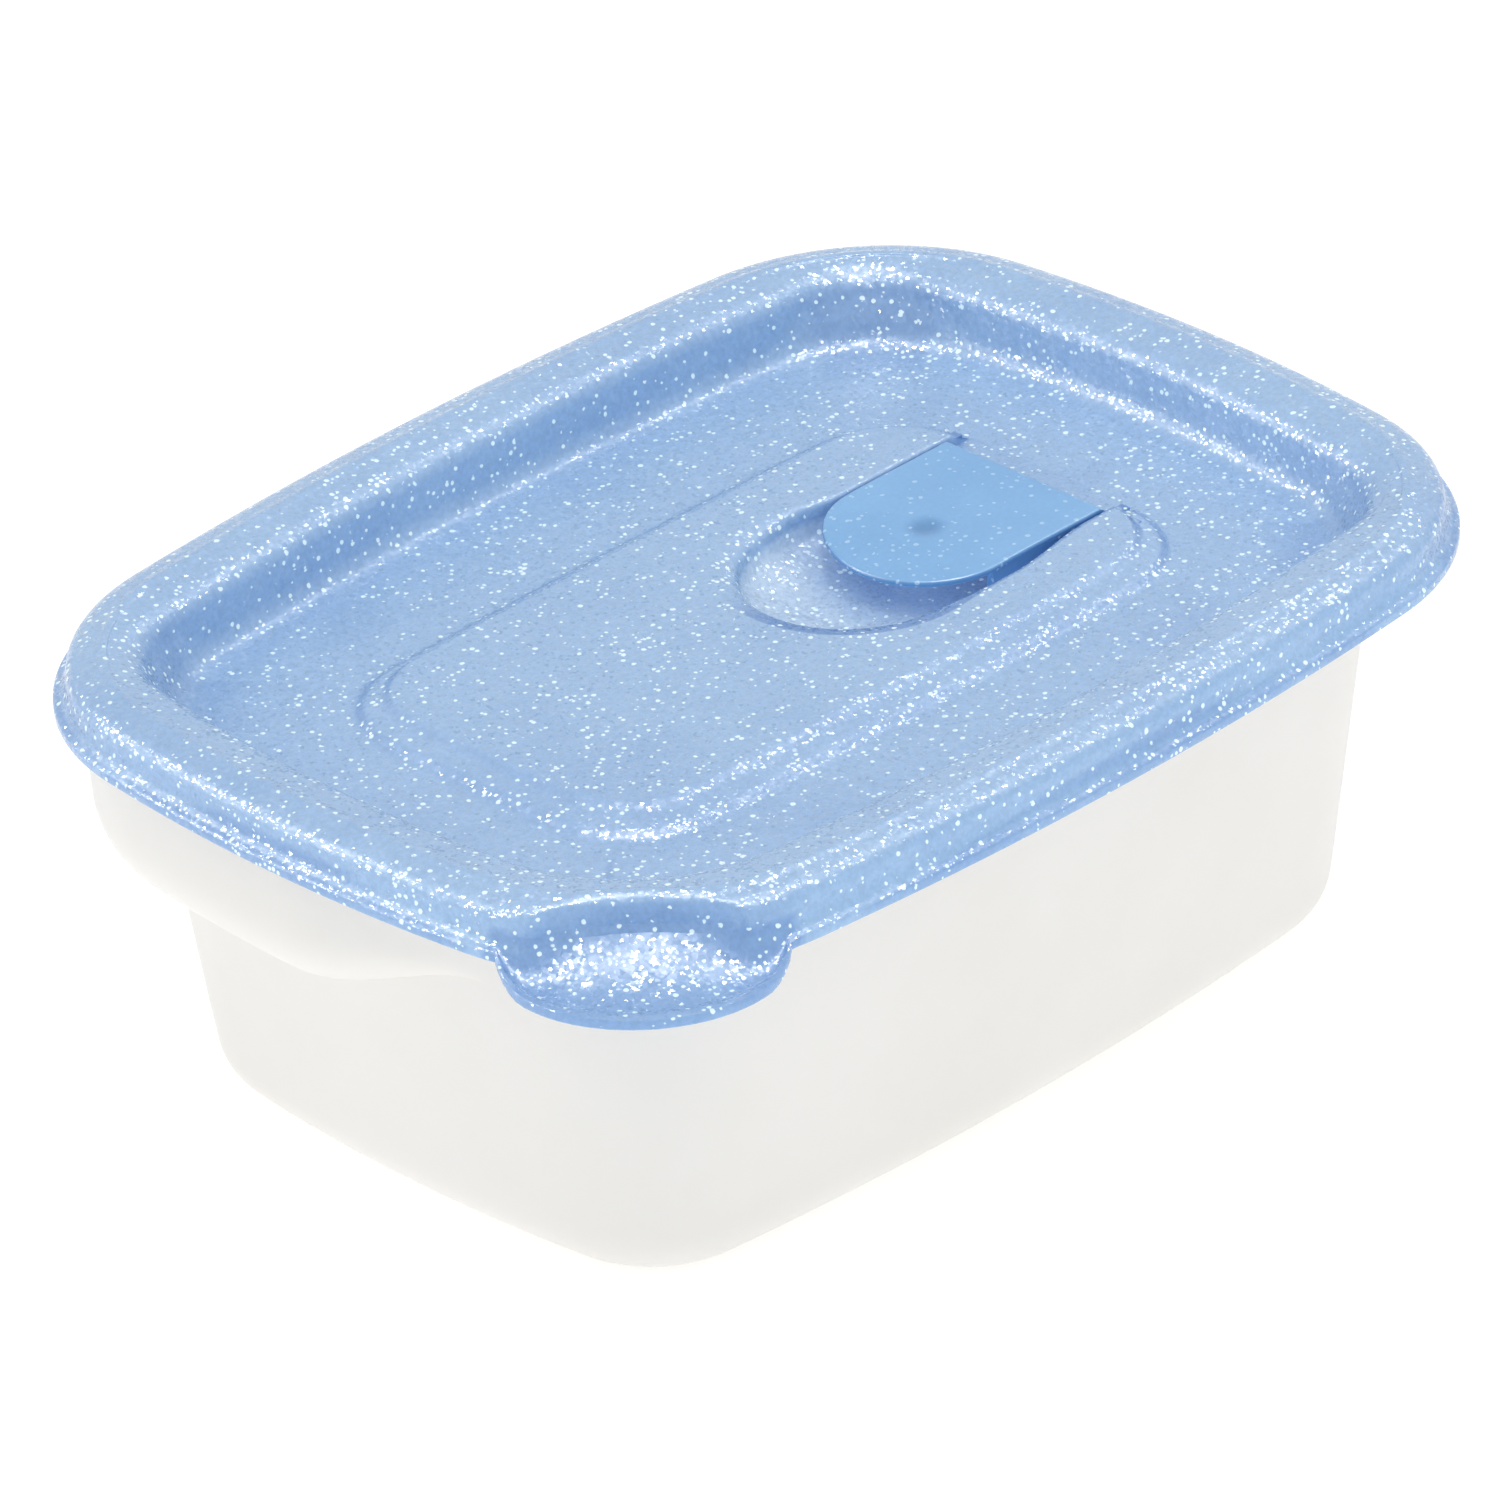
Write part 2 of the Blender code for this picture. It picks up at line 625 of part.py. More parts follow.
def pocket_point(row, x, along, across):
    """Point of a pocket ring: gentle slope at the nose, steep wall beside the flap."""
    gentle = 1.0 - smooth_step((x + along * POCKET_HALF_Y - POCKET_GENTLE_X)
                               / (POCKET_STEEP_X - POCKET_GENTLE_X))
    inset = row[0] + (row[2] - row[0]) * gentle
    height = row[1] + (row[3] - row[1]) * gentle
    radius = (pocket_half(x, across) if along == 0.0 else POCKET_HALF_Y) - inset
    return Vector((x + along * radius, across * radius, height + EDGE_Z))


def pocket_solid(rows, end_x):
    """U-shaped solid: round nose at -X, square end at +X."""
    sides = (end_x, 41.0, 37.0, 32.0, 28.0, 25.0, 22.0, 19.0, 17.0)
    rings = []
    for row in rows:
        ring = [pocket_point(row, x, 0.0, 1.0) for x in sides]
        for step in range(POCKET_STEPS + 1):
            angle = math.pi / 2.0 + math.pi * step / POCKET_STEPS
            ring.append(pocket_point(row, POCKET_NOSE_X, math.cos(angle), math.sin(angle)))
        ring += [pocket_point(row, x, 0.0, -1.0) for x in reversed(sides)]
        rings.append(ring)
    return loft(rings)


# Pocket sections: inset and height beside the flap, then at the open nose
POCKET_CAVITY = (
    (-1.0, 4.0, -1.5, 4.0), (-1.0, -0.3, -1.5, -0.3), (-0.32, -0.44, -0.45, -0.52),
    (-0.1, -0.68, 0.05, -0.85), (0.0, -1.3, 0.75, -1.45), (0.0, -3.8, 2.4, -3.1),
    (0.9, -4.7, 4.3, -4.35), (3.0, -5.3, 6.5, -5.15), (6.0, -5.7, 8.7, -5.65),
    (8.8, -5.9, 10.6, -5.9),
)
POCKET_SKIN = (
    (-1.3, -0.9, -1.3, -0.9), (-1.2, -2.0, -0.6, -2.0), (-1.1, -4.0, 1.2, -3.6),
    (0.0, -5.7, 3.3, -5.0), (2.5, -6.5, 5.8, -6.1), (5.7, -6.95, 8.0, -6.8),
    (8.4, -7.1, 10.3, -7.1),
)


def build_lid():
    """One moulding: edge, tab, bead, panel, island, finger pocket, vent seat, sockets."""
    rings, cap_at = lid_shell()
    made = finish("lid", ring_solid(rings, cap_at), MODEL, FROSTED)
    soften(made, 50.0)
    top = EDGE_Z + ISLAND_TOP

    skin = pocket_solid(POCKET_SKIN, POCKET_END_X + 1.2)
    combine(made, finish("pocket_stock", skin, CUTTERS), "UNION")
    for side, tag in ((1.0, "back"), (-1.0, "front")):
        low_y, high_y = sorted((side * 15.4, side * 17.6))
        lump = block((HINGE_X - 2.4, low_y, EDGE_Z - 3.9), (HINGE_X + 2.4, high_y, top - 0.6))
        combine(made, finish("hinge_block_" + tag, lump, CUTTERS), "UNION")

    combine(made, finish("pocket_cut", pocket_solid(POCKET_CAVITY, POCKET_END_X), CUTTERS),
            "DIFFERENCE")
    sill = block((POCKET_END_X - 2.5, -RAIL_Y, EDGE_Z + SILL_Z),
                 (POCKET_END_X + 6.0, RAIL_Y, EDGE_Z + 4.0))
    combine(made, finish("sill_cut", sill, CUTTERS), "DIFFERENCE")
    boss = rod((VENT_X, 0.0, EDGE_Z - 6.6), (VENT_X, 0.0, EDGE_Z - 3.9), VENT_BOSS_RADIUS,
               radius_end=VENT_BOSS_RADIUS - 0.3)
    combine(made, finish("vent_boss", boss, CUTTERS), "UNION")
    vent = rod((VENT_X, 0.0, EDGE_Z - 9.0), (VENT_X, 0.0, EDGE_Z - 2.0), VENT_HOLE_RADIUS)
    combine(made, finish("vent_cut", vent, CUTTERS), "DIFFERENCE")
    sockets = rod((HINGE_X, -SOCKET_END_Y, EDGE_Z + HINGE_Z),
                  (HINGE_X, SOCKET_END_Y, EDGE_Z + HINGE_Z), SOCKET_RADIUS)
    combine(made, finish("socket_cut", sockets, CUTTERS), "DIFFERENCE")
    return made


# ---------------------------------------------------------------- valve flap

def flap_section(x):
    """Section of the flap plate across its width at a distance along the lid."""
    part = min(1.0, max(0.0, (FLAP_NOSE_X - x) / (FLAP_NOSE_X - FLAP_TIP_X)))
    half = FLAP_HALF_Y * math.sqrt(1.0 - part ** 2)
    drop = FLAP_TIP_DROP * (max(0.0, FLAP_BEND_X - x) / (FLAP_BEND_X - FLAP_TIP_X)) ** 2
    top = FLAP_TOP - drop
    bottom = top - FLAP_THICK
    corners = ((-half, bottom + 0.15), (-half, top - 0.25), (-half + 0.3, top),
               (half - 0.3, top), (half, top - 0.25), (half, bottom + 0.15),
               (half - 0.2, bottom), (-half + 0.2, bottom))
    return [Vector((x, y, z + EDGE_Z)) for y, z in corners]


def flap_plate():
    """Flat at the hinge, rounded and dipped at the tip."""
    places = []
    for step in range(FLAP_NOSE_STEPS + 1):
        angle = 0.12 + (math.pi / 2.0 - 0.12) * step / FLAP_NOSE_STEPS
        places.append(FLAP_NOSE_X - (FLAP_NOSE_X - FLAP_TIP_X) * math.cos(angle))
    places += [28.0, 29.5, FLAP_BEND_X, FLAP_END_X]
    return loft([flap_section(x) for x in places])


def build_flap():
    """Flap plate with side skirts, knuckles, pins and the vent plug, turned on its hinge."""
    bottom = FLAP_TOP - FLAP_THICK
    plate = flap_plate()
    origin = (HINGE_X, 0.0, EDGE_Z + HINGE_Z)
    made = finish("valve_flap", plate, MODEL, CLEAR_BLUE, origin)
    soften(made)
    for side, tag in ((1.0, "back"), (-1.0, "front")):
        low_y, high_y = sorted((side * (FLAP_HALF_Y - 1.2), side * (FLAP_HALF_Y - 0.15)))
        skirt = block((FLAP_SKIRT_X, low_y, EDGE_Z + FLAP_SKIRT_Z),
                      (HINGE_X + 0.4, high_y, EDGE_Z + bottom + 0.4))
        combine(made, finish("flap_skirt_" + tag, skirt, CUTTERS), "UNION")
        knuckle = rod((HINGE_X, side * (FLAP_HALF_Y - 2.6), EDGE_Z + HINGE_Z),
                      (HINGE_X, side * (FLAP_HALF_Y - 0.05), EDGE_Z + HINGE_Z),
                      KNUCKLE_RADIUS)
        combine(made, finish("flap_knuckle_" + tag, knuckle, CUTTERS), "UNION")
        pin = rod((HINGE_X, side * (FLAP_HALF_Y - 0.6), EDGE_Z + HINGE_Z),
                  (HINGE_X, side * PIN_END_Y, EDGE_Z + HINGE_Z), PIN_RADIUS)
        combine(made, finish("flap_pin_" + tag, pin, CUTTERS), "UNION")
    plug = rod((VENT_X, 0.0, EDGE_Z - 4.9), (VENT_X, 0.0, EDGE_Z + bottom + 0.4),
               PLUG_RADIUS - 0.3, radius_end=PLUG_RADIUS)
    combine(made, finish("flap_plug", plug, CUTTERS), "UNION")
    ball = bmesh.new()
    bmesh.ops.create_uvsphere(ball, u_segments=32, v_segments=24, radius=7.0)
    bmesh.ops.translate(ball, verts=ball.verts, vec=(VENT_X, 0.0, EDGE_Z + FLAP_TOP + 6.75))
    combine(made, finish("flap_dimple", ball, CUTTERS), "DIFFERENCE")
    return made


build_tub()
build_lid()
build_flap()
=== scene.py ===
"""Snap lid food container: visual model, materials, light and camera.

Three mouldings, each built from rings of points: the milky tub, the frosted blue lid
and the valve flap.  Each stands for the CAD part of the same shape and rides on its body.
"""
import math

import bmesh
import bpy
from mathutils import Matrix, Vector


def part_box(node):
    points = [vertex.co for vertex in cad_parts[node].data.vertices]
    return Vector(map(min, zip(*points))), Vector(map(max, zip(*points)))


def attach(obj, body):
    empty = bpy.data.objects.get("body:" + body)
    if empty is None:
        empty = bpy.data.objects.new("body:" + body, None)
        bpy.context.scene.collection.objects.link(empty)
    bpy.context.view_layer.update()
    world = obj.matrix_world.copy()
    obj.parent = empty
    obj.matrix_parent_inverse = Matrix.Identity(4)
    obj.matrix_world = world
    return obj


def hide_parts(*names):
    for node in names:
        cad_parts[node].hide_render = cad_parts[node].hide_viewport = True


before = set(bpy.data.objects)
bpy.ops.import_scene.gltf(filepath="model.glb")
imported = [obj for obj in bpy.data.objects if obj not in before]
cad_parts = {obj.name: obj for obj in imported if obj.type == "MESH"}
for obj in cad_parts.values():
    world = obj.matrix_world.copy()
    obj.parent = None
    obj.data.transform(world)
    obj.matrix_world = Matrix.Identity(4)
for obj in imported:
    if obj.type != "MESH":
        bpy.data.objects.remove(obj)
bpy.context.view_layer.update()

MM = 0.001
PER_METRE = 1000.0

# ------------------------------------------------------------ dimensions, mm
# Heights (names with _Z, _TOP or _UNDER) are above the plane of the lid's lower edge, and
# EDGE_Z is that plane's own height above the floor.  Insets run in from the lid edge.

# Lid edge: a rounded rectangle whose long and short sides bow out on large radii
BEAD_CREST_Z = 6.5
LID_TOP_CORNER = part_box("lid")[1]
EDGE_Z = LID_TOP_CORNER.z * PER_METRE - BEAD_CREST_Z
LID_HALF_X = round(LID_TOP_CORNER.x * PER_METRE, 3)
LID_HALF_Y = round(LID_TOP_CORNER.y * PER_METRE, 3)
LID_CORNER = 32.0
LONG_BOW = 471.0
SHORT_BOW = 241.0
LID_THICK = 1.2
PANEL_TOP = -2.0
PANEL_INSET = 20.5
PANEL_CORNER = 24.0
PANEL_TAB_CORNER = 26.0

# Points on each quarter of an outline
LONG_STEPS = 12
CORNER_STEPS = 40
SHORT_STEPS = 9

# Tub
TUB_WALL = 1.1
FLOOR_THICK = 1.2
BASE_FILLET = 7.5
FILLET_STEPS = 12
BASE_FLAT_INSET = 28.0
WALL_TOP_INSET = 9.9
WALL_BASE_INSET_X = 16.6
WALL_BASE_INSET_Y = 17.2
INNER_FILLET_SHIFT = 0.15

# Shoulder of the tub: it swells out towards -X and +Y
SHOULDER_FROM_Y = -22.0
SHOULDER_GROWTH_Y = 27.0
SHOULDER_FROM_X = 2.0
SHOULDER_GROWTH_X = 26.0
SHOULDER_FACE = 3.3
SHOULDER_FACE_DRAFT = 0.03
SHOULDER_TURN_Z = -10.5
SHOULDER_DEPTH_LOW = 1.5
SHOULDER_DEPTH_HIGH = 9.0
SHOULDER_SKIN = 1.3

# Island
ISLAND_X = 0.6
ISLAND_HALF_X = 44.9
ISLAND_HALF_Y = 23.8
ISLAND_CORNER = 10.5
ISLAND_SLOPE = 2.8
ISLAND_LONG_BOW = 1400.0
ISLAND_SHORT_BOW = 500.0
ISLAND_TOP = -0.3

# Pocket: a finger bowl at the nose that narrows to the rails beside the flap
POCKET_NOSE_X = 15.0
POCKET_HALF_Y = 15.0
RAIL_Y = 13.0
FAR_RAIL_FROM_X = 17.0
FAR_RAIL_GROWTH = 9.0
NEAR_RAIL_FROM_X = 26.0
NEAR_RAIL_GROWTH = 15.0
POCKET_END_X = 45.5
POCKET_SKIN_END = 1.2
SILL_X = (43.0, 51.5)
SILL_CUT_TOP = 4.0
POCKET_STEPS = 64
POCKET_GENTLE_X = 13.0
POCKET_STEEP_X = 23.0
SILL_Z = -1.9

# Hinge, vent and flap
HINGE_X = 42.8
HINGE_Z = -2.0
PIN_RADIUS = 0.9
PIN_END_Y = 15.8
SOCKET_RADIUS = 1.25
SOCKET_END_Y = 16.2
SOCKET_BLOCK_HALF_X = 2.4
SOCKET_BLOCK_Y = (15.4, 17.6)
SOCKET_BLOCK_LOW_Z = -3.9
SOCKET_BLOCK_TOP = ISLAND_TOP - 0.6
VENT_X = 27.3
VENT_HOLE_RADIUS = 2.9
VENT_HOLE_Z = (-9.0, -2.0)
VENT_BOSS_RADIUS = 4.6
VENT_BOSS_TAPER = 0.3
VENT_BOSS_Z = (-6.6, -3.9)
FLAP_TIP_X = 16.1
FLAP_NOSE_X = 26.5
FLAP_BEND_X = 31.0
FLAP_END_X = 43.8
FLAP_HALF_Y = 12.7
FLAP_TIP_DROP = 1.2
FLAP_TOP = -0.3
FLAP_THICK = 0.8
FLAP_UNDER = FLAP_TOP - FLAP_THICK
FLAP_BITE = 0.4
FLAP_SKIRT_X = 25.5
FLAP_SKIRT_Z = -3.3
FLAP_SKIRT_IN = (1.2, 0.15)
FLAP_STEPS = 48
DIMPLE_DEPTH = 0.3
DIMPLE_RADIUS = 2.3
KNUCKLE_RADIUS = 1.6
KNUCKLE_IN = (2.6, 0.05)
PIN_ROOT_IN = 0.6
PLUG_RADIUS = 2.3
PLUG_TAPER = 0.3
PLUG_END_Z = -4.9

# Pull tab: an oval round TAB_X, TAB_Y with a dish that cuts into the bead
TAB_X = -61.9
TAB_Y = -43.2
TAB_REACH = 15.1
TAB_HALF_WIDTH = 16.9
TAB_HALF_TURN = math.radians(40.0)
TAB_ONSET = 1.2
TAB_FULL_REACH = 4.5
TAB_ROOT_Z = 2.35
TAB_SIDE_RIM_Z = 0.95
TAB_RIM_Z = -0.7
TAB_CUT_DEPTH = 4.3
DISH_FOOT = 1.58
DISH_HALF_TURN = math.radians(24.0)
DISH_SHIFT = math.radians(1.0)
DISH_POWER = 0.85
CUT_EASE = 0.3
CUT_ONSET = 0.2
CUT_DROP = 1.2

# Rim of the tub beside the tab
RIM_CUT_FULL = math.radians(20.0)
RIM_CUT_LAST = math.radians(29.0)
RIM_CUT_SHIFT = math.radians(3.0)


# ------------------------------------------------------------ outlines

def smooth_step(value):
    """0 below 0, 1 above 1, and an even S-curve between."""
    value = min(1.0, max(0.0, value))
    return value * value * (3.0 - 2.0 * value)


def corner_centre(half_x, half_y, corner, long_bow, short_bow):
    """Centre of the corner arc that joins the two bowed sides in the +X +Y quarter."""
    long_centre = Vector((0.0, half_y - long_bow))
    short_centre = Vector((half_x - short_bow, 0.0))
    reach_long = long_bow - corner
    reach_short = short_bow - corner
    span = short_centre - long_centre
    gap = span.length
    along = (reach_long ** 2 - reach_short ** 2 + gap ** 2) / (2.0 * gap)
    across = math.sqrt(reach_long ** 2 - along ** 2)
    unit = span / gap
    side = Vector((unit.y, -unit.x))
    return long_centre + unit * along + side * across


def arc(centre, radius, start, end, steps):
    """Points on an arc without its last point."""
    points = []
    for i in range(steps):
        angle = start + (end - start) * i / steps
        points.append(Vector((centre[0] + radius * math.cos(angle),
                              centre[1] + radius * math.sin(angle))))
    return points


def quarter_outline(half_x, half_y, corner, long_bow, short_bow):
    """The +X +Y quarter of a rounded rectangle with bowed sides."""
    centre = corner_centre(half_x, half_y, corner, long_bow, short_bow)
    long_centre = (0.0, half_y - long_bow)
    short_centre = (half_x - short_bow, 0.0)
    turn_short = math.atan2(centre.y - short_centre[1], centre.x - short_centre[0])
    turn_long = math.atan2(centre.y - long_centre[1], centre.x - long_centre[0])
    quarter = arc(short_centre, short_bow, 0.0, turn_short, SHORT_STEPS)
    quarter += arc(centre, corner, turn_short, turn_long, CORNER_STEPS)
    quarter += arc(long_centre, long_bow, turn_long, math.pi / 2.0, LONG_STEPS)
    return quarter


def outline(half_x, half_y, corner, long_bow, short_bow, tab_corner=None):
    """Closed outline, counter-clockwise from +X; the tab corner may have its own radius."""
    plain = quarter_outline(half_x, half_y, corner, long_bow, short_bow)
    tab = quarter_outline(half_x, half_y, tab_corner or corner, long_bow, short_bow)
    points = list(plain)
    points.append(Vector((0.0, half_y)))
    points += [Vector((-p.x, p.y)) for p in reversed(plain[1:])]
    points += [Vector((-p.x, -p.y)) for p in tab]
    points.append(Vector((0.0, -half_y)))
    points += [Vector((p.x, -p.y)) for p in reversed(plain[1:])]
    return points


def edge_outline(inset_x=0.0, inset_y=None, corner=None, tab_corner=None):
    """Outline inside the lid edge; corners stay parallel to it unless they are given."""
    if inset_y is None:
        inset_y = inset_x
    if corner is None:
        corner = LID_CORNER - (inset_x + inset_y) / 2.0
    return outline(LID_HALF_X - inset_x, LID_HALF_Y - inset_y, corner,
                   LONG_BOW - inset_y, SHORT_BOW - inset_x, tab_corner)


def island_outline(grow, set_in=0.0):
    """Outline of the island; set_in moves its -X and -Y sides only."""
    points = outline(ISLAND_HALF_X + grow - set_in / 2.0,
                     ISLAND_HALF_Y + grow - set_in / 2.0,
                     ISLAND_CORNER + grow - set_in * 0.4,
                     ISLAND_LONG_BOW, ISLAND_SHORT_BOW)
    return [Vector((p.x + ISLAND_X + set_in / 2.0, p.y + set_in / 2.0)) for p in points]


EDGE = edge_outline()


def edge_normal(i):
    """Outward direction of the lid edge at a point."""
    along = EDGE[(i + 1) % len(EDGE)] - EDGE[i - 1]
    return Vector((along.y, -along.x)).normalized()


NORMALS = [edge_normal(i) for i in range(len(EDGE))]
CORNER_CENTRE = corner_centre(LID_HALF_X, LID_HALF_Y, LID_CORNER, LONG_BOW, SHORT_BOW)


def between(before, start, end, after, t):
    """Value on a smooth curve from start to end that doesn't overshoot either."""
    limit = 1.5 * abs(end - start)
    leaving = max(-limit, min(limit, 0.5 * (end - before)))
    arriving = max(-limit, min(limit, 0.5 * (after - start)))
    return ((2 * t ** 3 - 3 * t ** 2 + 1) * start + (t ** 3 - 2 * t ** 2 + t) * leaving
            + (-2 * t ** 3 + 3 * t ** 2) * end + (t ** 3 - t ** 2) * arriving)


def curve_through(rows, steps):
    """Rows of numbers with steps times as many, on a smooth curve through them."""
    fine = []
    last = len(rows) - 1
    for k in range(last):
        spans = tuple(zip(rows[max(0, k - 1)], rows[k], rows[k + 1],
                          rows[min(last, k + 2)]))
        for step in range(steps):
            fine.append(tuple(between(*span, step / steps) for span in spans))
    fine.append(tuple(rows[-1]))
    return fine


# ------------------------------------------------------------ mesh helpers

def finish(name, mesh, paint=None):
    """Object from a bmesh written in millimetres."""
    bmesh.ops.scale(mesh, verts=mesh.verts, vec=(MM, MM, MM))
    data = bpy.data.meshes.new(name)
    mesh.to_mesh(data)
    mesh.free()
    made = bpy.data.objects.new(name, data)
    bpy.context.scene.collection.objects.link(made)
    if paint:
        data.materials.append(paint)
    return made


def ring_faces(mesh, lower, upper):
    """Band of quads between two closed rings of vertices."""
    count = len(lower)
    for i in range(count):
        j = (i + 1) % count
        mesh.faces.new((lower[i], lower[j], upper[j], upper[i]))


def loft(rings):
    """Closed skin through rings of equal length, with flat ends."""
    mesh = bmesh.new()
    rows = [[mesh.verts.new(p) for p in ring] for ring in rings]
    for lower, upper in zip(rows, rows[1:]):
        ring_faces(mesh, lower, upper)
    mesh.faces.new(list(reversed(rows[0])))
    mesh.faces.new(rows[-1])
    bmesh.ops.recalc_face_normals(mesh, faces=mesh.faces)
    return mesh


def level(points, height):
    """Flat ring of points at a height above the lid edge."""
    return [Vector((p.x, p.y, height + EDGE_Z)) for p in points]


def block(low, high):
    """Box between two corners."""
    mesh = bmesh.new()
    bmesh.ops.create_cube(mesh, size=1.0)
    size = Vector(high) - Vector(low)
    bmesh.ops.scale(mesh, verts=mesh.verts, vec=size)
    bmesh.ops.translate(mesh, verts=mesh.verts, vec=(Vector(high) + Vector(low)) / 2.0)
    return mesh


def rod(start, end, radius, segments=48, radius_end=None):
    """Round bar between two points; radius_end makes it taper."""
    mesh = bmesh.new()
    start = Vector(start)
    end = Vector(end)
    bmesh.ops.create_cone(mesh, cap_ends=True, segments=segments, radius1=radius,
                          radius2=radius if radius_end is None else radius_end,
                          depth=(end - start).length)
    turn = Vector((0.0, 0.0, 1.0)).rotation_difference((end - start).normalized())
    bmesh.ops.rotate(mesh, verts=mesh.verts, matrix=turn.to_matrix())
    bmesh.ops.translate(mesh, verts=mesh.verts, vec=(start + end) / 2.0)
    return mesh


def combine(target, mesh, operation):
    """Boolean of a bmesh into an object, applied at once."""
    tool = finish("tool", mesh)
    cut = target.modifiers.new("cut", "BOOLEAN")
    cut.object = tool
    cut.operation = operation
    cut.solver = "MANIFOLD"
    view = bpy.context.evaluated_depsgraph_get()
    data = bpy.data.meshes.new_from_object(target.evaluated_get(view))
    target.modifiers.clear()
    old = target.data
    target.data = data
    data.name = target.name
    bpy.data.meshes.remove(old)
    bpy.data.objects.remove(tool)


def shade(made, degrees):
    """Smooth shading with the flat faces kept flat."""
    made.data.shade_smooth()
    made.data.set_sharp_from_angle(angle=math.radians(degrees))
    even = made.modifiers.new("even_normals", "WEIGHTED_NORMAL")
    even.mode = "FACE_AREA"
    even.keep_sharp = True


# ------------------------------------------------------------ tub

def shoulder_amount(point):
    """How far the shoulder stands out at a place on the edge, 0 to 1."""
    along_end = smooth_step((point.y - SHOULDER_FROM_Y) / SHOULDER_GROWTH_Y)
    along_side = smooth_step((SHOULDER_FROM_X - point.x) / SHOULDER_GROWTH_X)
    return min(along_end, along_side)


SHOULDER = [shoulder_amount(p) for p in EDGE]
# Wall outlines already worked out, by their insets
WALL_OUTLINES = {}


def wall_inset(height):
    """Wall insets along X and Y at a height below the lid edge."""
    part = -height / EDGE_Z
    return (WALL_TOP_INSET + (WALL_BASE_INSET_X - WALL_TOP_INSET) * part,
            WALL_TOP_INSET + (WALL_BASE_INSET_Y - WALL_TOP_INSET) * part)


def shoulder_depth(i):
    """Height of the rounded underside of the shoulder at a point."""
    return SHOULDER_DEPTH_LOW + (SHOULDER_DEPTH_HIGH - SHOULDER_DEPTH_LOW) * SHOULDER[i]


def shoulder_swell(i, height, part):
    """Distance the wall is moved out by the shoulder; part runs 0 to 1 up its underside."""
    face = SHOULDER_FACE - SHOULDER_FACE_DRAFT * height
    full = SHOULDER[i] * (wall_inset(height)[0] - face)
    return full * math.sqrt(max(0.0, 1.0 - (1.0 - part) ** 2))


def wall_point(i, height, part, skin):
    """Point i of the tub wall at a height below the lid edge."""
    inset_x, inset_y = wall_inset(height)
    key = (round(inset_x + skin, 4), round(inset_y + skin, 4))
    if key not in WALL_OUTLINES:
        WALL_OUTLINES[key] = edge_outline(*key)
    spot = WALL_OUTLINES[key][i] + NORMALS[i] * shoulder_swell(i, height, part)
    return Vector((spot.x, spot.y, height + EDGE_Z))


def wall_ring(height, skin=0.0):
    """Level ring of the tub wall; skin moves it in by the wall thickness."""
    part = 1.0 if height >= SHOULDER_TURN_Z else 0.0
    return [wall_point(i, height, part, skin) for i in range(len(EDGE))]


def shoulder_ring(part, skin=0.0, lift=0.0):
    """Ring that follows the curved underside of the shoulder."""
    ring = []
    for i in range(len(EDGE)):
        height = SHOULDER_TURN_Z - (1.0 - part) * shoulder_depth(i) + lift
        ring.append(wall_point(i, height, part, skin))
    return ring


def fillet_rings(radius, sharp_x, sharp_y, floor):
    """Rings of the rounded base edge from the wall down to the flat."""
    draft = math.atan2(WALL_BASE_INSET_X - WALL_TOP_INSET, EDGE_Z)
    back = radius * (1.0 - math.sin(draft)) / math.cos(draft)
    rings = []
    for step in range(FILLET_STEPS + 1):
        angle = draft + (math.pi / 2.0 - draft) * step / FILLET_STEPS
        reach = back - radius * math.cos(angle)
        rings.append(level(edge_outline(sharp_x + reach, sharp_y + reach),
                           floor + radius * (1.0 - math.sin(angle))))
    return rings


def tab_turn(spot):
    """Angle of a place round the tab corner's centre, from the tab's middle line."""
    ray = spot + CORNER_CENTRE
    middle = math.atan2(TAB_Y + CORNER_CENTRE.y, TAB_X + CORNER_CENTRE.x)
    turn = math.atan2(ray.y, ray.x) - middle
    return (turn + math.pi) % (2.0 * math.pi) - math.pi


def rim_cut(spot):
    """How far the rim is drawn in under the pull tab, 0 to 1."""
    turn = abs(tab_turn(spot) + RIM_CUT_SHIFT)
    return smooth_step((RIM_CUT_LAST - turn) / (RIM_CUT_LAST - RIM_CUT_FULL))


RIM_CUT = [rim_cut(spot) for spot in EDGE]


def rim_ring(row):
    """Ring of the rim from one row of the tables below."""
    inset, z, corner, shoulder_inset, shoulder_z, tab_inset, tab_z = row
    ring = []
    for i, spot in enumerate(edge_outline(inset, None, corner, LID_CORNER - inset)):
        spot = spot.lerp(EDGE[i] - NORMALS[i] * shoulder_inset, SHOULDER[i])
        height = z + (shoulder_z - z) * SHOULDER[i]
        spot = spot.lerp(EDGE[i] - NORMALS[i] * tab_inset, RIM_CUT[i])
        height += (tab_z - height) * RIM_CUT[i]
        ring.append(Vector((spot.x, spot.y, height + EDGE_Z)))
    return ring


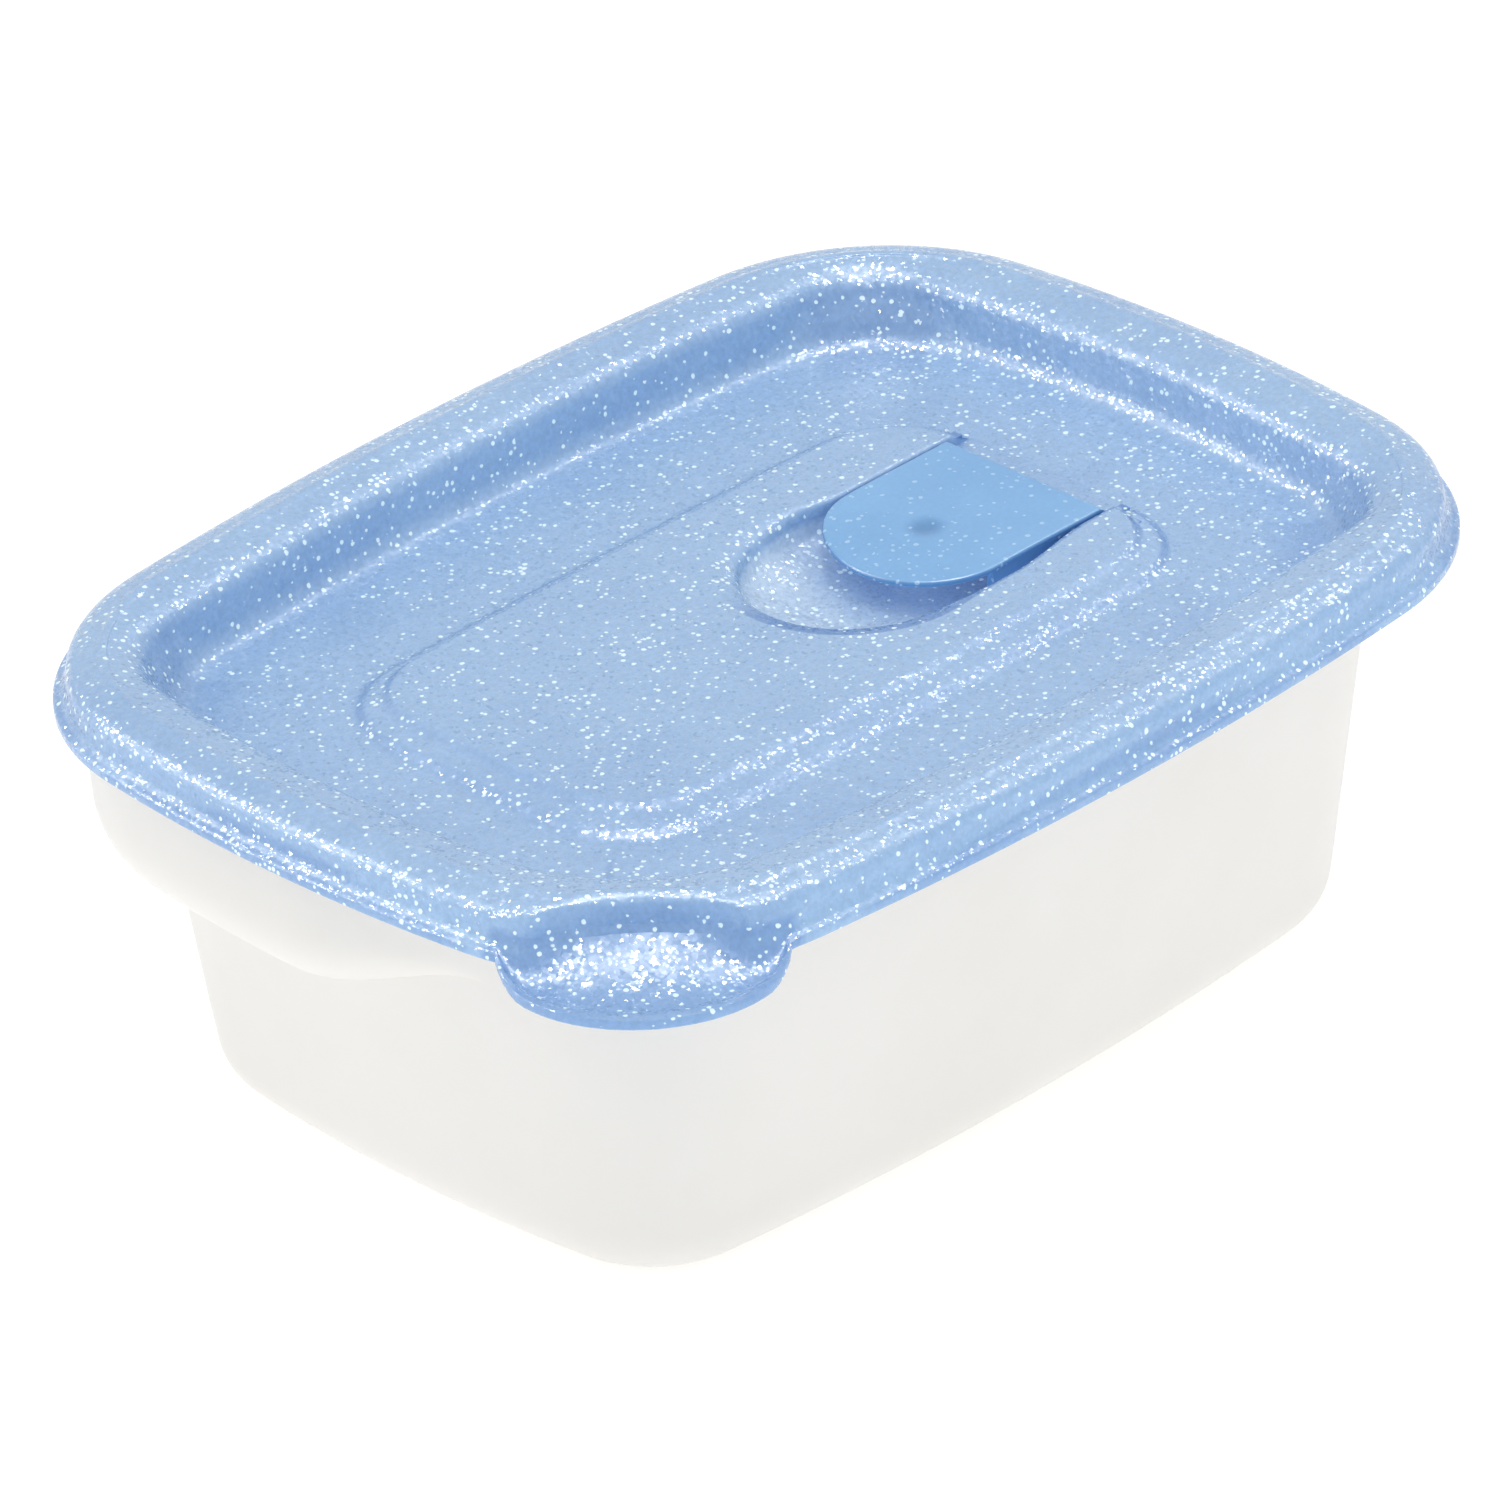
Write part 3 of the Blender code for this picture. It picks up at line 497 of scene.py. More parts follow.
# Rim sections: inset, height and corner radius where the rim is plain, then inset and
# height over the full shoulder, then inset and height beside the pull tab
RIM_OUTSIDE = (
    (9.75, 1.2, 20.2, 3.27, 0.1, 9.75, 1.2), (9.4, 2.5, 18.2, 3.24, 0.5, 9.7, 2.0),
    (8.8, 3.3, 17.9, 3.21, 0.9, 9.6, 2.6), (7.8, 3.7, 19.4, 3.18, 1.3, 9.5, 3.1),
    (5.6, 3.8, 24.7, 3.15, 1.7, 9.3, 3.5), (4.4, 3.6, 27.4, 3.12, 2.0, 9.15, 3.75),
    (4.0, 3.1, 28.0, 3.10, 2.3, 9.05, 3.9), (4.0, 2.0, 28.0, 3.07, 2.6, 9.0, 4.0),
    (3.5, 1.75, 28.5, 3.04, 2.9, 8.95, 4.1), (3.0, 2.0, 29.0, 3.02, 3.2, 8.9, 4.25),
    (3.0, 4.0, 29.0, 3.0, 4.0, 8.9, 4.5), (3.3, 4.65, 28.7, 3.25, 4.65, 9.0, 4.75),
    (3.9, 4.95, 28.1, 3.6, 4.9, 9.2, 4.9),
)
RIM_INSIDE = (
    (7.3, 4.95, 20.1, 3.95, 4.85, 9.6, 4.93), (8.6, 4.5, 18.1, 4.2, 4.6, 10.0, 4.7),
    (9.6, 3.85, 17.1, 4.3, 4.1, 10.3, 4.1), (10.3, 2.8, 17.6, 4.33, 3.2, 10.6, 3.0),
    (10.75, 1.5, 19.0, 4.36, 1.6, 10.75, 1.5),
)
# Steps up the curved underside of the shoulder
SHOULDER_PARTS = (0.0, 0.02, 0.06, 0.12, 0.2, 0.3, 0.42, 0.55, 0.7, 0.85, 1.0)


def build_tub(paint):
    """One moulding: floor, tapered wall, shoulder and rolled rim."""
    floor = -EDGE_Z
    rings = [level(edge_outline(BASE_FLAT_INSET), floor)]
    rings += reversed(fillet_rings(BASE_FILLET, WALL_BASE_INSET_X, WALL_BASE_INSET_Y,
                                   floor))
    for height in (-40.0, -36.0, -32.0, -28.0, -25.0, -22.5):
        rings.append(wall_ring(height))
    rings += [shoulder_ring(part) for part in SHOULDER_PARTS]
    for height in (-8.0, -5.5, -3.0, -0.6):
        rings.append(wall_ring(height))
    rings += [rim_ring(row) for row in curve_through(RIM_OUTSIDE, 2)]
    rings += [rim_ring(row) for row in curve_through(RIM_INSIDE, 2)]
    for height in (-0.6, -5.5):
        rings.append(wall_ring(height, TUB_WALL))
    for part in reversed(SHOULDER_PARTS):
        rings.append(shoulder_ring(part, TUB_WALL, SHOULDER_SKIN))
    for height in (-26.0, -34.0):
        rings.append(wall_ring(height, TUB_WALL))
    rings += fillet_rings(BASE_FILLET - TUB_WALL,
                          WALL_BASE_INSET_X + TUB_WALL - INNER_FILLET_SHIFT,
                          WALL_BASE_INSET_Y + TUB_WALL - INNER_FILLET_SHIFT,
                          floor + FLOOR_THICK)
    made = finish("tub_moulding", loft(rings), paint)
    shade(made, 50.0)
    return made


# ------------------------------------------------------------ lid

# Flange from under the edge up to the foot of the skirt, where there is no tab: reach
# past the lid edge, and height
FLANGE_ROWS = (
    (-1.10, 0.0), (-0.80, 0.0), (-0.50, 0.0), (-0.25, 0.0), (-0.06, 0.04), (0.0, 0.18),
    (0.0, 0.55), (0.0, 0.92), (-0.06, 1.06), (-0.16, 1.16), (-0.30, 1.26), (-0.45, 1.34),
    (-0.60, 1.42), (-0.75, 1.50), (-0.88, 1.60), (-1.02, 1.72), (-1.18, 1.88),
    (-1.42, 2.25), (-1.58, 3.0),
)
# Section from the skirt over the bead to the recess floor: inset, height, corner radius,
# corner radius at the tab corner, then the gap kept from the foot of the tab's dish and
# the height where the dish cuts in
TOP_ROWS = (
    (1.6, 3.9, 30.4, 30.4, 0.2, 3.2), (1.75, 4.6, 30.25, 30.25, 0.3, 3.9),
    (2.1, 5.15, 29.9, 29.9, 0.40, 4.4), (2.65, 5.57, 29.35, 29.35, 0.55, 5.0),
    (3.4, 5.88, 28.6, 28.6, 0.80, 5.5), (4.2, 6.08, 27.8, 27.8, 1.10, 5.85),
    (4.9, 6.2, 27.1, 27.5, 1.42, 6.12), (5.45, 6.38, 26.55, 28.0, 1.80, 6.32),
    (5.95, 6.5, 26.05, 28.6, 2.25, 6.43), (6.7, 6.45, 24.6, 28.0, 2.75, 6.42),
    (7.5, 6.28, 21.5, 27.6, 2.4, 6.28), (8.8, 6.12, 18.2, 25.9, 3.3, 6.12),
    (10.2, 5.9, 14.2, 24.2, 4.6, 5.9), (11.2, 5.5, 12.4, 23.9, 5.9, 5.5),
    (11.95, 4.95, 12.2, 24.0, 7.0, 4.95), (12.4, 4.2, 13.0, 23.5, 7.4, 4.2),
    (12.6, 3.2, 14.5, 23.2, 7.6, 3.2), (12.8, 2.0, 16.8, 23.0, 7.8, 2.0),
    (12.95, 0.6, 19.5, 23.0, 8.0, 0.6), (13.2, -0.4, 20.5, 23.0, 8.3, -0.4),
    (13.7, -1.25, 21.3, 23.2, 9.0, -1.25), (14.5, -1.8, 22.0, 23.6, 10.5, -1.8),
    (15.6, -2.0, 22.5, 24.0, 12.2, -2.0),
)
# The same section underneath, from the recess floor back to the flange
UNDER_ROWS = (
    (15.4, -3.2, 22.5, 24.0, 11.9, -3.2), (13.9, -3.0, 21.9, 23.6, 9.9, -3.0),
    (12.7, -2.2, 21.0, 23.2, 8.2, -2.2), (12.0, -1.0, 20.0, 23.0, 7.4, -1.0),
    (11.65, 0.6, 18.6, 23.0, 7.0, 0.6), (11.5, 2.0, 16.0, 23.1, 6.7, 2.0),
    (11.4, 3.1, 14.4, 23.3, 6.5, 3.1), (11.1, 3.9, 13.8, 23.5, 6.0, 3.9),
    (10.5, 4.55, 14.4, 23.8, 5.2, 4.55), (9.6, 4.95, 17.0, 24.4, 4.3, 5.0),
    (8.4, 5.2, 20.5, 25.0, 3.8, 5.25), (6.8, 5.35, 24.6, 26.0, 3.05, 5.35),
    (4.4, 5.3, 27.6, 27.6, 2.65, 5.2), (3.4, 5.1, 28.6, 28.6, 2.35, 4.9),
    (2.85, 4.8, 29.15, 29.15, 2.1, 4.4), (2.65, 4.3, 29.35, 29.35, 1.9, 3.6),
    (2.6, 2.9, 29.4, 29.4, 1.65, 2.6), (2.3, 2.3, 29.7, 29.7, 1.35, 1.6),
    (1.5, 1.9, 30.5, 30.5, 0.55, 1.15), (1.1, 1.3, 30.9, 30.9, -0.25, 0.9),
)


def dish_reach(turn):
    """How far the tab's dish cuts into the bead on one ray, 0 to 1."""
    part = min(1.0, abs(turn + DISH_SHIFT) / DISH_HALF_TURN)
    return abs(math.cos(part * math.pi / 2.0)) ** DISH_POWER


TAB_CUT = [dish_reach(tab_turn(spot)) for spot in EDGE]

# Island section, from the panel up: reach past its outline, how far the -X and -Y sides
# are set in, and height
ISLAND_ROWS = (
    (5.2, -1.7, PANEL_TOP), (3.3, -1.7, PANEL_TOP), (2.6, -1.7, PANEL_TOP + 0.08),
    (2.1, -1.7, PANEL_TOP + 0.30), (1.6, -1.7, PANEL_TOP + 0.62),
    (1.15, -1.6, PANEL_TOP + 0.84), (0.7, -1.1, PANEL_TOP + 0.95),
    (0.4, -0.4, PANEL_TOP + 1.02), (0.15, 0.1, ISLAND_TOP - 0.55),
    (-0.05, 0.5, ISLAND_TOP - 0.32), (-0.25, 0.8, ISLAND_TOP - 0.10),
    (-0.4, 1.1, ISLAND_TOP - 0.02), (-0.8, 1.3, ISLAND_TOP),
)


def tab_tip(turn, away):
    """Distance the oval tab stands out past the lid corner on one ray."""
    cosine = math.cos(turn) / TAB_REACH
    sine = math.sin(turn) / TAB_HALF_WIDTH
    square = cosine ** 2 + sine ** 2
    middle = cosine * away / TAB_REACH
    inside = middle ** 2 - square * ((away / TAB_REACH) ** 2 - 1.0)
    if inside <= 0.0:
        return -1.0
    return (middle + math.sqrt(inside)) / square - LID_CORNER


def tab_rows(tip, cut):
    """Tab section on one ray, row for row with FLANGE_ROWS."""
    full = smooth_step(tip / TAB_FULL_REACH)
    rim = TAB_SIDE_RIM_Z + (TAB_RIM_Z - TAB_SIDE_RIM_Z) * full
    bottom = rim - 0.85 - 0.55 * full
    low = rim - 0.45 * full
    start = -1.45 - TAB_CUT_DEPTH * cut
    crest = tip - 0.55 - 0.35 * full
    rows = [(-1.10 - 3.5 * cut, 0.35 * cut), (-0.5 + 0.15 * tip - 2.8 * cut, 0.3 * bottom),
            (0.45 * tip, 0.85 * bottom), (0.8 * tip, bottom), (tip - 0.18, bottom + 0.06),
            (tip, bottom + 0.25), (tip, (bottom + rim) / 2.0), (tip - 0.03, rim - 0.28),
            (tip - 0.16, rim - 0.08), (crest, rim)]
    for part in (0.95, 0.90, 0.82, 0.68, 0.50, 0.30, 0.13):
        reach = start + (crest - start) * part
        bowl = low + (TAB_ROOT_Z - low) * max(0.0, 1.0 - part / 0.72) ** 2
        lip = (rim - low) * smooth_step((part - 0.84) / 0.15)
        rows.append((reach, bowl + lip))
    rows += [(start, TAB_ROOT_Z), (-DISH_FOOT - TAB_CUT_DEPTH * cut, TAB_ROOT_Z + 0.5)]
    return rows


def flange_rings():
    """Rings of the lid edge; round the tab corner they sweep out into the pull tab."""
    away = math.hypot(TAB_X + CORNER_CENTRE.x, TAB_Y + CORNER_CENTRE.y)
    rings = [[] for _ in FLANGE_ROWS]
    for i, spot in enumerate(EDGE):
        turn = tab_turn(spot)
        tip = tab_tip(turn, away) if abs(turn) < TAB_HALF_TURN else -1.0
        rows = FLANGE_ROWS
        if tip > 0.0:
            amount = smooth_step(tip / TAB_ONSET)
            rows = [(a[0] + (b[0] - a[0]) * amount, a[1] + (b[1] - a[1]) * amount)
                    for a, b in zip(FLANGE_ROWS, tab_rows(tip, TAB_CUT[i]))]
        for ring, (reach, height) in zip(rings, rows):
            point = spot + NORMALS[i] * reach
            ring.append(Vector((point.x, point.y, height + EDGE_Z)))
    return rings


def cut_back(lack):
    """Distance a ring gives way to the dish; eased where the cut begins."""
    if abs(lack) < CUT_EASE:
        return (lack + CUT_EASE) ** 2 / (4.0 * CUT_EASE)
    return max(0.0, lack)


def section_rings(rows):
    """Rings of the bead and recess; beside the tab they stay clear of the dish's foot."""
    rings = []
    for inset, z, corner, tab_corner, gap, cut_z in rows:
        ring = []
        for i, spot in enumerate(edge_outline(inset, None, corner, tab_corner)):
            foot = DISH_FOOT + TAB_CUT_DEPTH * TAB_CUT[i]
            moved = cut_back(foot + gap - (EDGE[i] - spot).dot(NORMALS[i]))
            moved *= smooth_step(TAB_CUT[i] / CUT_ONSET)
            height = z + (cut_z - z) * smooth_step(moved / CUT_DROP)
            spot = spot - NORMALS[i] * moved
            ring.append(Vector((spot.x, spot.y, height + EDGE_Z)))
        rings.append(ring)
    return rings


def lid_shell():
    """Edge, skirt, bead, recessed panel and raised island as one closed skin."""
    outside = flange_rings() + section_rings(curve_through(TOP_ROWS, 3))
    outside += [level(edge_outline(PANEL_INSET, None, PANEL_CORNER, PANEL_TAB_CORNER),
                      PANEL_TOP)]
    outside += [level(island_outline(grow, set_in), z) for grow, set_in, z in ISLAND_ROWS]
    inside = [level(island_outline(-1.5, 0.8), ISLAND_TOP - LID_THICK),
              level(island_outline(ISLAND_SLOPE - LID_THICK), PANEL_TOP - LID_THICK)]
    inside += section_rings(curve_through(UNDER_ROWS, 1))
    mesh = bmesh.new()
    top = [[mesh.verts.new(p) for p in ring] for ring in outside]
    under = [[mesh.verts.new(p) for p in ring] for ring in inside]
    for rows in (top, under):
        for lower, upper in zip(rows, rows[1:]):
            ring_faces(mesh, lower, upper)
    ring_faces(mesh, under[-1], top[0])
    mesh.faces.new(top[-1])
    mesh.faces.new(list(reversed(under[0])))
    bmesh.ops.recalc_face_normals(mesh, faces=mesh.faces)
    return mesh


# Pocket sections: inset and height where the wall is steep, then where it is gentle at
# the open nose
CAVITY_ROWS = (
    (-1.0, 4.0, -1.5, 4.0), (-1.0, -0.3, -1.5, -0.3), (-0.62, -0.335, -0.95, -0.36),
    (-0.32, -0.44, -0.1, -0.50), (-0.1, -0.68, 0.8, -0.78), (0.0, -1.3, 1.5, -1.35),
    (0.0, -3.8, 2.4, -3.1), (0.9, -4.7, 4.3, -4.35), (3.0, -5.3, 6.5, -5.15),
    (6.0, -5.7, 8.7, -5.65), (8.8, -5.9, 10.6, -5.9),
)
SKIN_ROWS = (
    (-1.3, -0.9, -1.3, -0.9), (-1.2, -2.0, -0.6, -2.0), (-1.1, -4.0, 1.2, -3.6),
    (0.0, -5.7, 3.3, -5.0), (2.5, -6.5, 5.8, -6.1), (5.7, -6.95, 8.0, -6.8),
    (8.4, -7.1, 10.3, -7.1),
)


def pocket_half(x, side):
    """Half width of the pocket: wide round the finger, close to the flap at the hinge."""
    if side > 0.0:
        rail = smooth_step((x - FAR_RAIL_FROM_X) / FAR_RAIL_GROWTH)
    else:
        rail = smooth_step((x - NEAR_RAIL_FROM_X) / NEAR_RAIL_GROWTH)
    return POCKET_HALF_Y + (RAIL_Y - POCKET_HALF_Y) * rail


def pocket_ring(row, end_x):
    """U-shaped ring: open bowl at the -X nose, steep walls beside the flap."""
    sides = (end_x, 42.0, 40.0, 37.5, 35.0, 32.0, 29.0, 27.0, 25.0, 23.5, 22.0, 20.5, 19.0,
             17.0)
    ring = [pocket_point(row, x, 0.0, 1.0) for x in sides]
    for step in range(POCKET_STEPS + 1):
        angle = math.pi / 2.0 + math.pi * step / POCKET_STEPS
        ring.append(pocket_point(row, POCKET_NOSE_X, math.cos(angle), math.sin(angle)))
    ring += [pocket_point(row, x, 0.0, -1.0) for x in reversed(sides)]
    return ring


def pocket_point(row, x, along, across):
    """Point of a pocket ring; along and across point from its middle line to the wall."""
    inset, z, gentle_inset, gentle_z = row
    gentle = 1.0 - smooth_step((x + along * POCKET_HALF_Y - POCKET_GENTLE_X)
                               / (POCKET_STEEP_X - POCKET_GENTLE_X))
    inset += (gentle_inset - inset) * gentle
    height = z + (gentle_z - z) * gentle
    radius = (pocket_half(x, across) if along == 0.0 else POCKET_HALF_Y) - inset
    return Vector((x + along * radius, across * radius, height + EDGE_Z))


def build_lid(paint):
    """One moulding: edge, tab, bead, panel, island, finger pocket, vent seat, sockets."""
    made = finish("lid_moulding", lid_shell(), paint)
    socket_low = EDGE_Z + SOCKET_BLOCK_LOW_Z
    socket_top = EDGE_Z + SOCKET_BLOCK_TOP
    combine(made, loft([pocket_ring(row, POCKET_END_X + POCKET_SKIN_END)
                        for row in curve_through(SKIN_ROWS, 2)]), "UNION")
    for side in (1.0, -1.0):
        low_y, high_y = sorted(side * y for y in SOCKET_BLOCK_Y)
        combine(made, block((HINGE_X - SOCKET_BLOCK_HALF_X, low_y, socket_low),
                            (HINGE_X + SOCKET_BLOCK_HALF_X, high_y, socket_top)), "UNION")
    combine(made, loft([pocket_ring(row, POCKET_END_X)
                        for row in curve_through(CAVITY_ROWS, 3)]), "DIFFERENCE")
    combine(made, block((SILL_X[0], -RAIL_Y, EDGE_Z + SILL_Z),
                        (SILL_X[1], RAIL_Y, EDGE_Z + SILL_CUT_TOP)), "DIFFERENCE")
    combine(made, rod((VENT_X, 0.0, EDGE_Z + VENT_BOSS_Z[0]),
                      (VENT_X, 0.0, EDGE_Z + VENT_BOSS_Z[1]), VENT_BOSS_RADIUS,
                      radius_end=VENT_BOSS_RADIUS - VENT_BOSS_TAPER), "UNION")
    combine(made, rod((VENT_X, 0.0, EDGE_Z + VENT_HOLE_Z[0]),
                      (VENT_X, 0.0, EDGE_Z + VENT_HOLE_Z[1]), VENT_HOLE_RADIUS),
            "DIFFERENCE")
    combine(made, rod((HINGE_X, -SOCKET_END_Y, EDGE_Z + HINGE_Z),
                      (HINGE_X, SOCKET_END_Y, EDGE_Z + HINGE_Z), SOCKET_RADIUS,
                      segments=24), "DIFFERENCE")
    shade(made, 32.0)
    return made


# ------------------------------------------------------------ flap

def flap_outline(inset):
    """U-shaped outline of the flap plate from its hinge end round the nose."""
    half = FLAP_HALF_Y - inset
    reach = FLAP_NOSE_X - FLAP_TIP_X - inset
    end = FLAP_END_X - inset
    points = [(end, y * half) for y in (-0.97, -0.5, 0.0, 0.5, 0.97)]
    sides = [FLAP_NOSE_X + (end - FLAP_NOSE_X) * part
             for part in (0.995, 0.97, 0.85, 0.7, 0.5, 0.3, 0.12)]
    points += [(x, half) for x in sides]
    for step in range(FLAP_STEPS + 1):
        angle = math.pi / 2.0 + math.pi * step / FLAP_STEPS
        points.append((FLAP_NOSE_X + reach * math.cos(angle), half * math.sin(angle)))
    points += [(x, -half) for x in reversed(sides)]
    return points


def flap_ring(inset, height, shrink):
    """Ring of the plate, drawn in towards the plug; the tip dips, the middle is dimpled."""
    ring = []
    for x, y in flap_outline(inset):
        x = VENT_X + (x - VENT_X) * shrink
        y *= shrink
        bend = max(0.0, FLAP_BEND_X - x) / (FLAP_BEND_X - FLAP_TIP_X)
        sunk = FLAP_TIP_DROP * bend ** 2
        if height > FLAP_TOP - 0.01:
            away = math.hypot(x - VENT_X, y)
            sunk += DIMPLE_DEPTH * smooth_step(1.0 - away / DIMPLE_RADIUS)
        ring.append(Vector((x, y, height - sunk + EDGE_Z)))
    return ring


def flap_plate():
    """Plate with rounded edges, in rings from its underside round to its top."""
    rows = [(0.5, FLAP_UNDER, shrink) for shrink in (0.1, 0.5, 0.8, 1.0)]
    rows += [(0.15, FLAP_UNDER + 0.06, 1.0), (0.03, FLAP_UNDER + 0.18, 1.0),
             (0.0, FLAP_UNDER + 0.33, 1.0), (0.0, FLAP_TOP - 0.35, 1.0),
             (0.05, FLAP_TOP - 0.18, 1.0), (0.18, FLAP_TOP - 0.05, 1.0),
             (0.4, FLAP_TOP, 1.0)]
    rows += [(0.4, FLAP_TOP, shrink) for shrink in
             (0.97, 0.93, 0.88, 0.82, 0.75, 0.67, 0.58, 0.49, 0.40, 0.32, 0.25, 0.20, 0.16,
              0.12, 0.09, 0.06, 0.03)]
    return loft([flap_ring(inset, z, shrink) for inset, z, shrink in rows])


def build_flap(paint):
    """Flap plate with side skirts, knuckles, pins and the vent plug."""
    made = finish("flap_moulding", flap_plate(), paint)
    plate = EDGE_Z + FLAP_UNDER + FLAP_BITE
    axis = EDGE_Z + HINGE_Z
    for side in (1.0, -1.0):
        low_y, high_y = sorted(side * (FLAP_HALF_Y - inset) for inset in FLAP_SKIRT_IN)
        combine(made, block((FLAP_SKIRT_X, low_y, EDGE_Z + FLAP_SKIRT_Z),
                            (HINGE_X + FLAP_BITE, high_y, plate)), "UNION")
        knuckle = [(HINGE_X, side * (FLAP_HALF_Y - inset), axis) for inset in KNUCKLE_IN]
        combine(made, rod(*knuckle, KNUCKLE_RADIUS, segments=32), "UNION")
        combine(made, rod((HINGE_X, side * (FLAP_HALF_Y - PIN_ROOT_IN), axis),
                          (HINGE_X, side * PIN_END_Y, axis), PIN_RADIUS, segments=24),
                "UNION")
    combine(made, rod((VENT_X, 0.0, EDGE_Z + PLUG_END_Z), (VENT_X, 0.0, plate),
                      PLUG_RADIUS - PLUG_TAPER, radius_end=PLUG_RADIUS), "UNION")
    shade(made, 35.0)
    return made


# ------------------------------------------------------------ materials

class Nodes:
    """Small helper that writes a material's node tree; texture scales are per metre."""

    def __init__(self, name):
        self.material = bpy.data.materials.new(name)
        self.material.use_nodes = True
        self.tree = self.material.node_tree
        self.shader = self.tree.nodes["Principled BSDF"]
        self.place = self.add("ShaderNodeTexCoord").outputs["Object"]

    def add(self, kind, **settings):
        """New node with its properties set."""
        node = self.tree.nodes.new(kind)
        for key, value in settings.items():
            setattr(node, key, value)
        return node

    def feed(self, socket, value):
        """Links another node's output to a socket, or sets a plain value on it."""
        if isinstance(value, bpy.types.NodeSocket):
            self.tree.links.new(value, socket)
        else:
            socket.default_value = value

    def math(self, operation, a, b, clamp=False):
        node = self.add("ShaderNodeMath", operation=operation, use_clamp=clamp)
        self.feed(node.inputs[0], a)
        self.feed(node.inputs[1], b)
        return node.outputs[0]

    def vector_math(self, operation, *values):
        node = self.add("ShaderNodeVectorMath", operation=operation)
        for socket, value in zip(node.inputs, values):
            self.feed(socket, value)
        return node.outputs[0]

    def noise(self, scale, detail=2.0, rough=0.5):
        node = self.add("ShaderNodeTexNoise")
        self.feed(node.inputs["Vector"], self.place)
        node.inputs["Scale"].default_value = scale
        node.inputs["Detail"].default_value = detail
        node.inputs["Roughness"].default_value = rough
        return node.outputs["Fac"]

    def cells(self, scale, vector=None):
        """Voronoi cells, for painted glints and facets."""
        node = self.add("ShaderNodeTexVoronoi")
        self.feed(node.inputs["Vector"], vector or self.place)
        node.inputs["Scale"].default_value = scale
        return node

    def ramp(self, value, low, high, out_low=0.0, out_high=1.0, smooth=True):
        """Value mapped from low..high to out_low..out_high."""
        node = self.add("ShaderNodeMapRange")
        node.interpolation_type = "SMOOTHSTEP" if smooth else "LINEAR"
        self.feed(node.inputs["Value"], value)
        node.inputs["From Min"].default_value = low
        node.inputs["From Max"].default_value = high
        node.inputs["To Min"].default_value = out_low
        node.inputs["To Max"].default_value = out_high
        return node.outputs["Result"]

    def blend(self, amount, a, b):
        """Colour a where amount is 0, colour b where it is 1."""
        node = self.add("ShaderNodeMix", data_type="RGBA")
        self.feed(node.inputs["Factor"], amount)
        self.feed(node.inputs["A"], a)
        self.feed(node.inputs["B"], b)
        return node.outputs["Result"]

    def attribute(self, name):
        return self.add("ShaderNodeAttribute", attribute_name=name).outputs["Fac"]


def srgb(red, green, blue):
    """Linear colour from 0-255 display values."""
    parts = []
    for value in (red, green, blue):
        value /= 255.0
        if value <= 0.04045:
            parts.append(value / 12.92)
        else:
            parts.append(((value + 0.055) / 1.055) ** 2.4)
    return (*parts, 1.0)


# Painted light: pale colour and glow on the pocket floor, where light would come through
# the plastic into the shade under the flap
PAINTED_LIGHT_COLOUR = srgb(186, 212, 240)
PAINTED_LIGHT_GLOW = 0.12
# Painted glints: near-white flecks that glow, standing in for sparkles of light off the
# grain
PAINTED_GLINT_COLOUR = srgb(226, 248, 255)
PAINTED_GLINT_GLOW = 0.22
PAINTED_GLINT_COVER = 0.95
GLINT_SCALE = 1250.0
GLINT_WOBBLE_SCALE = 900.0
GLINT_WOBBLE = 0.0004
GRAIN_SCALE = 1500.0
COAT_GRAIN_SCALE = 2500.0


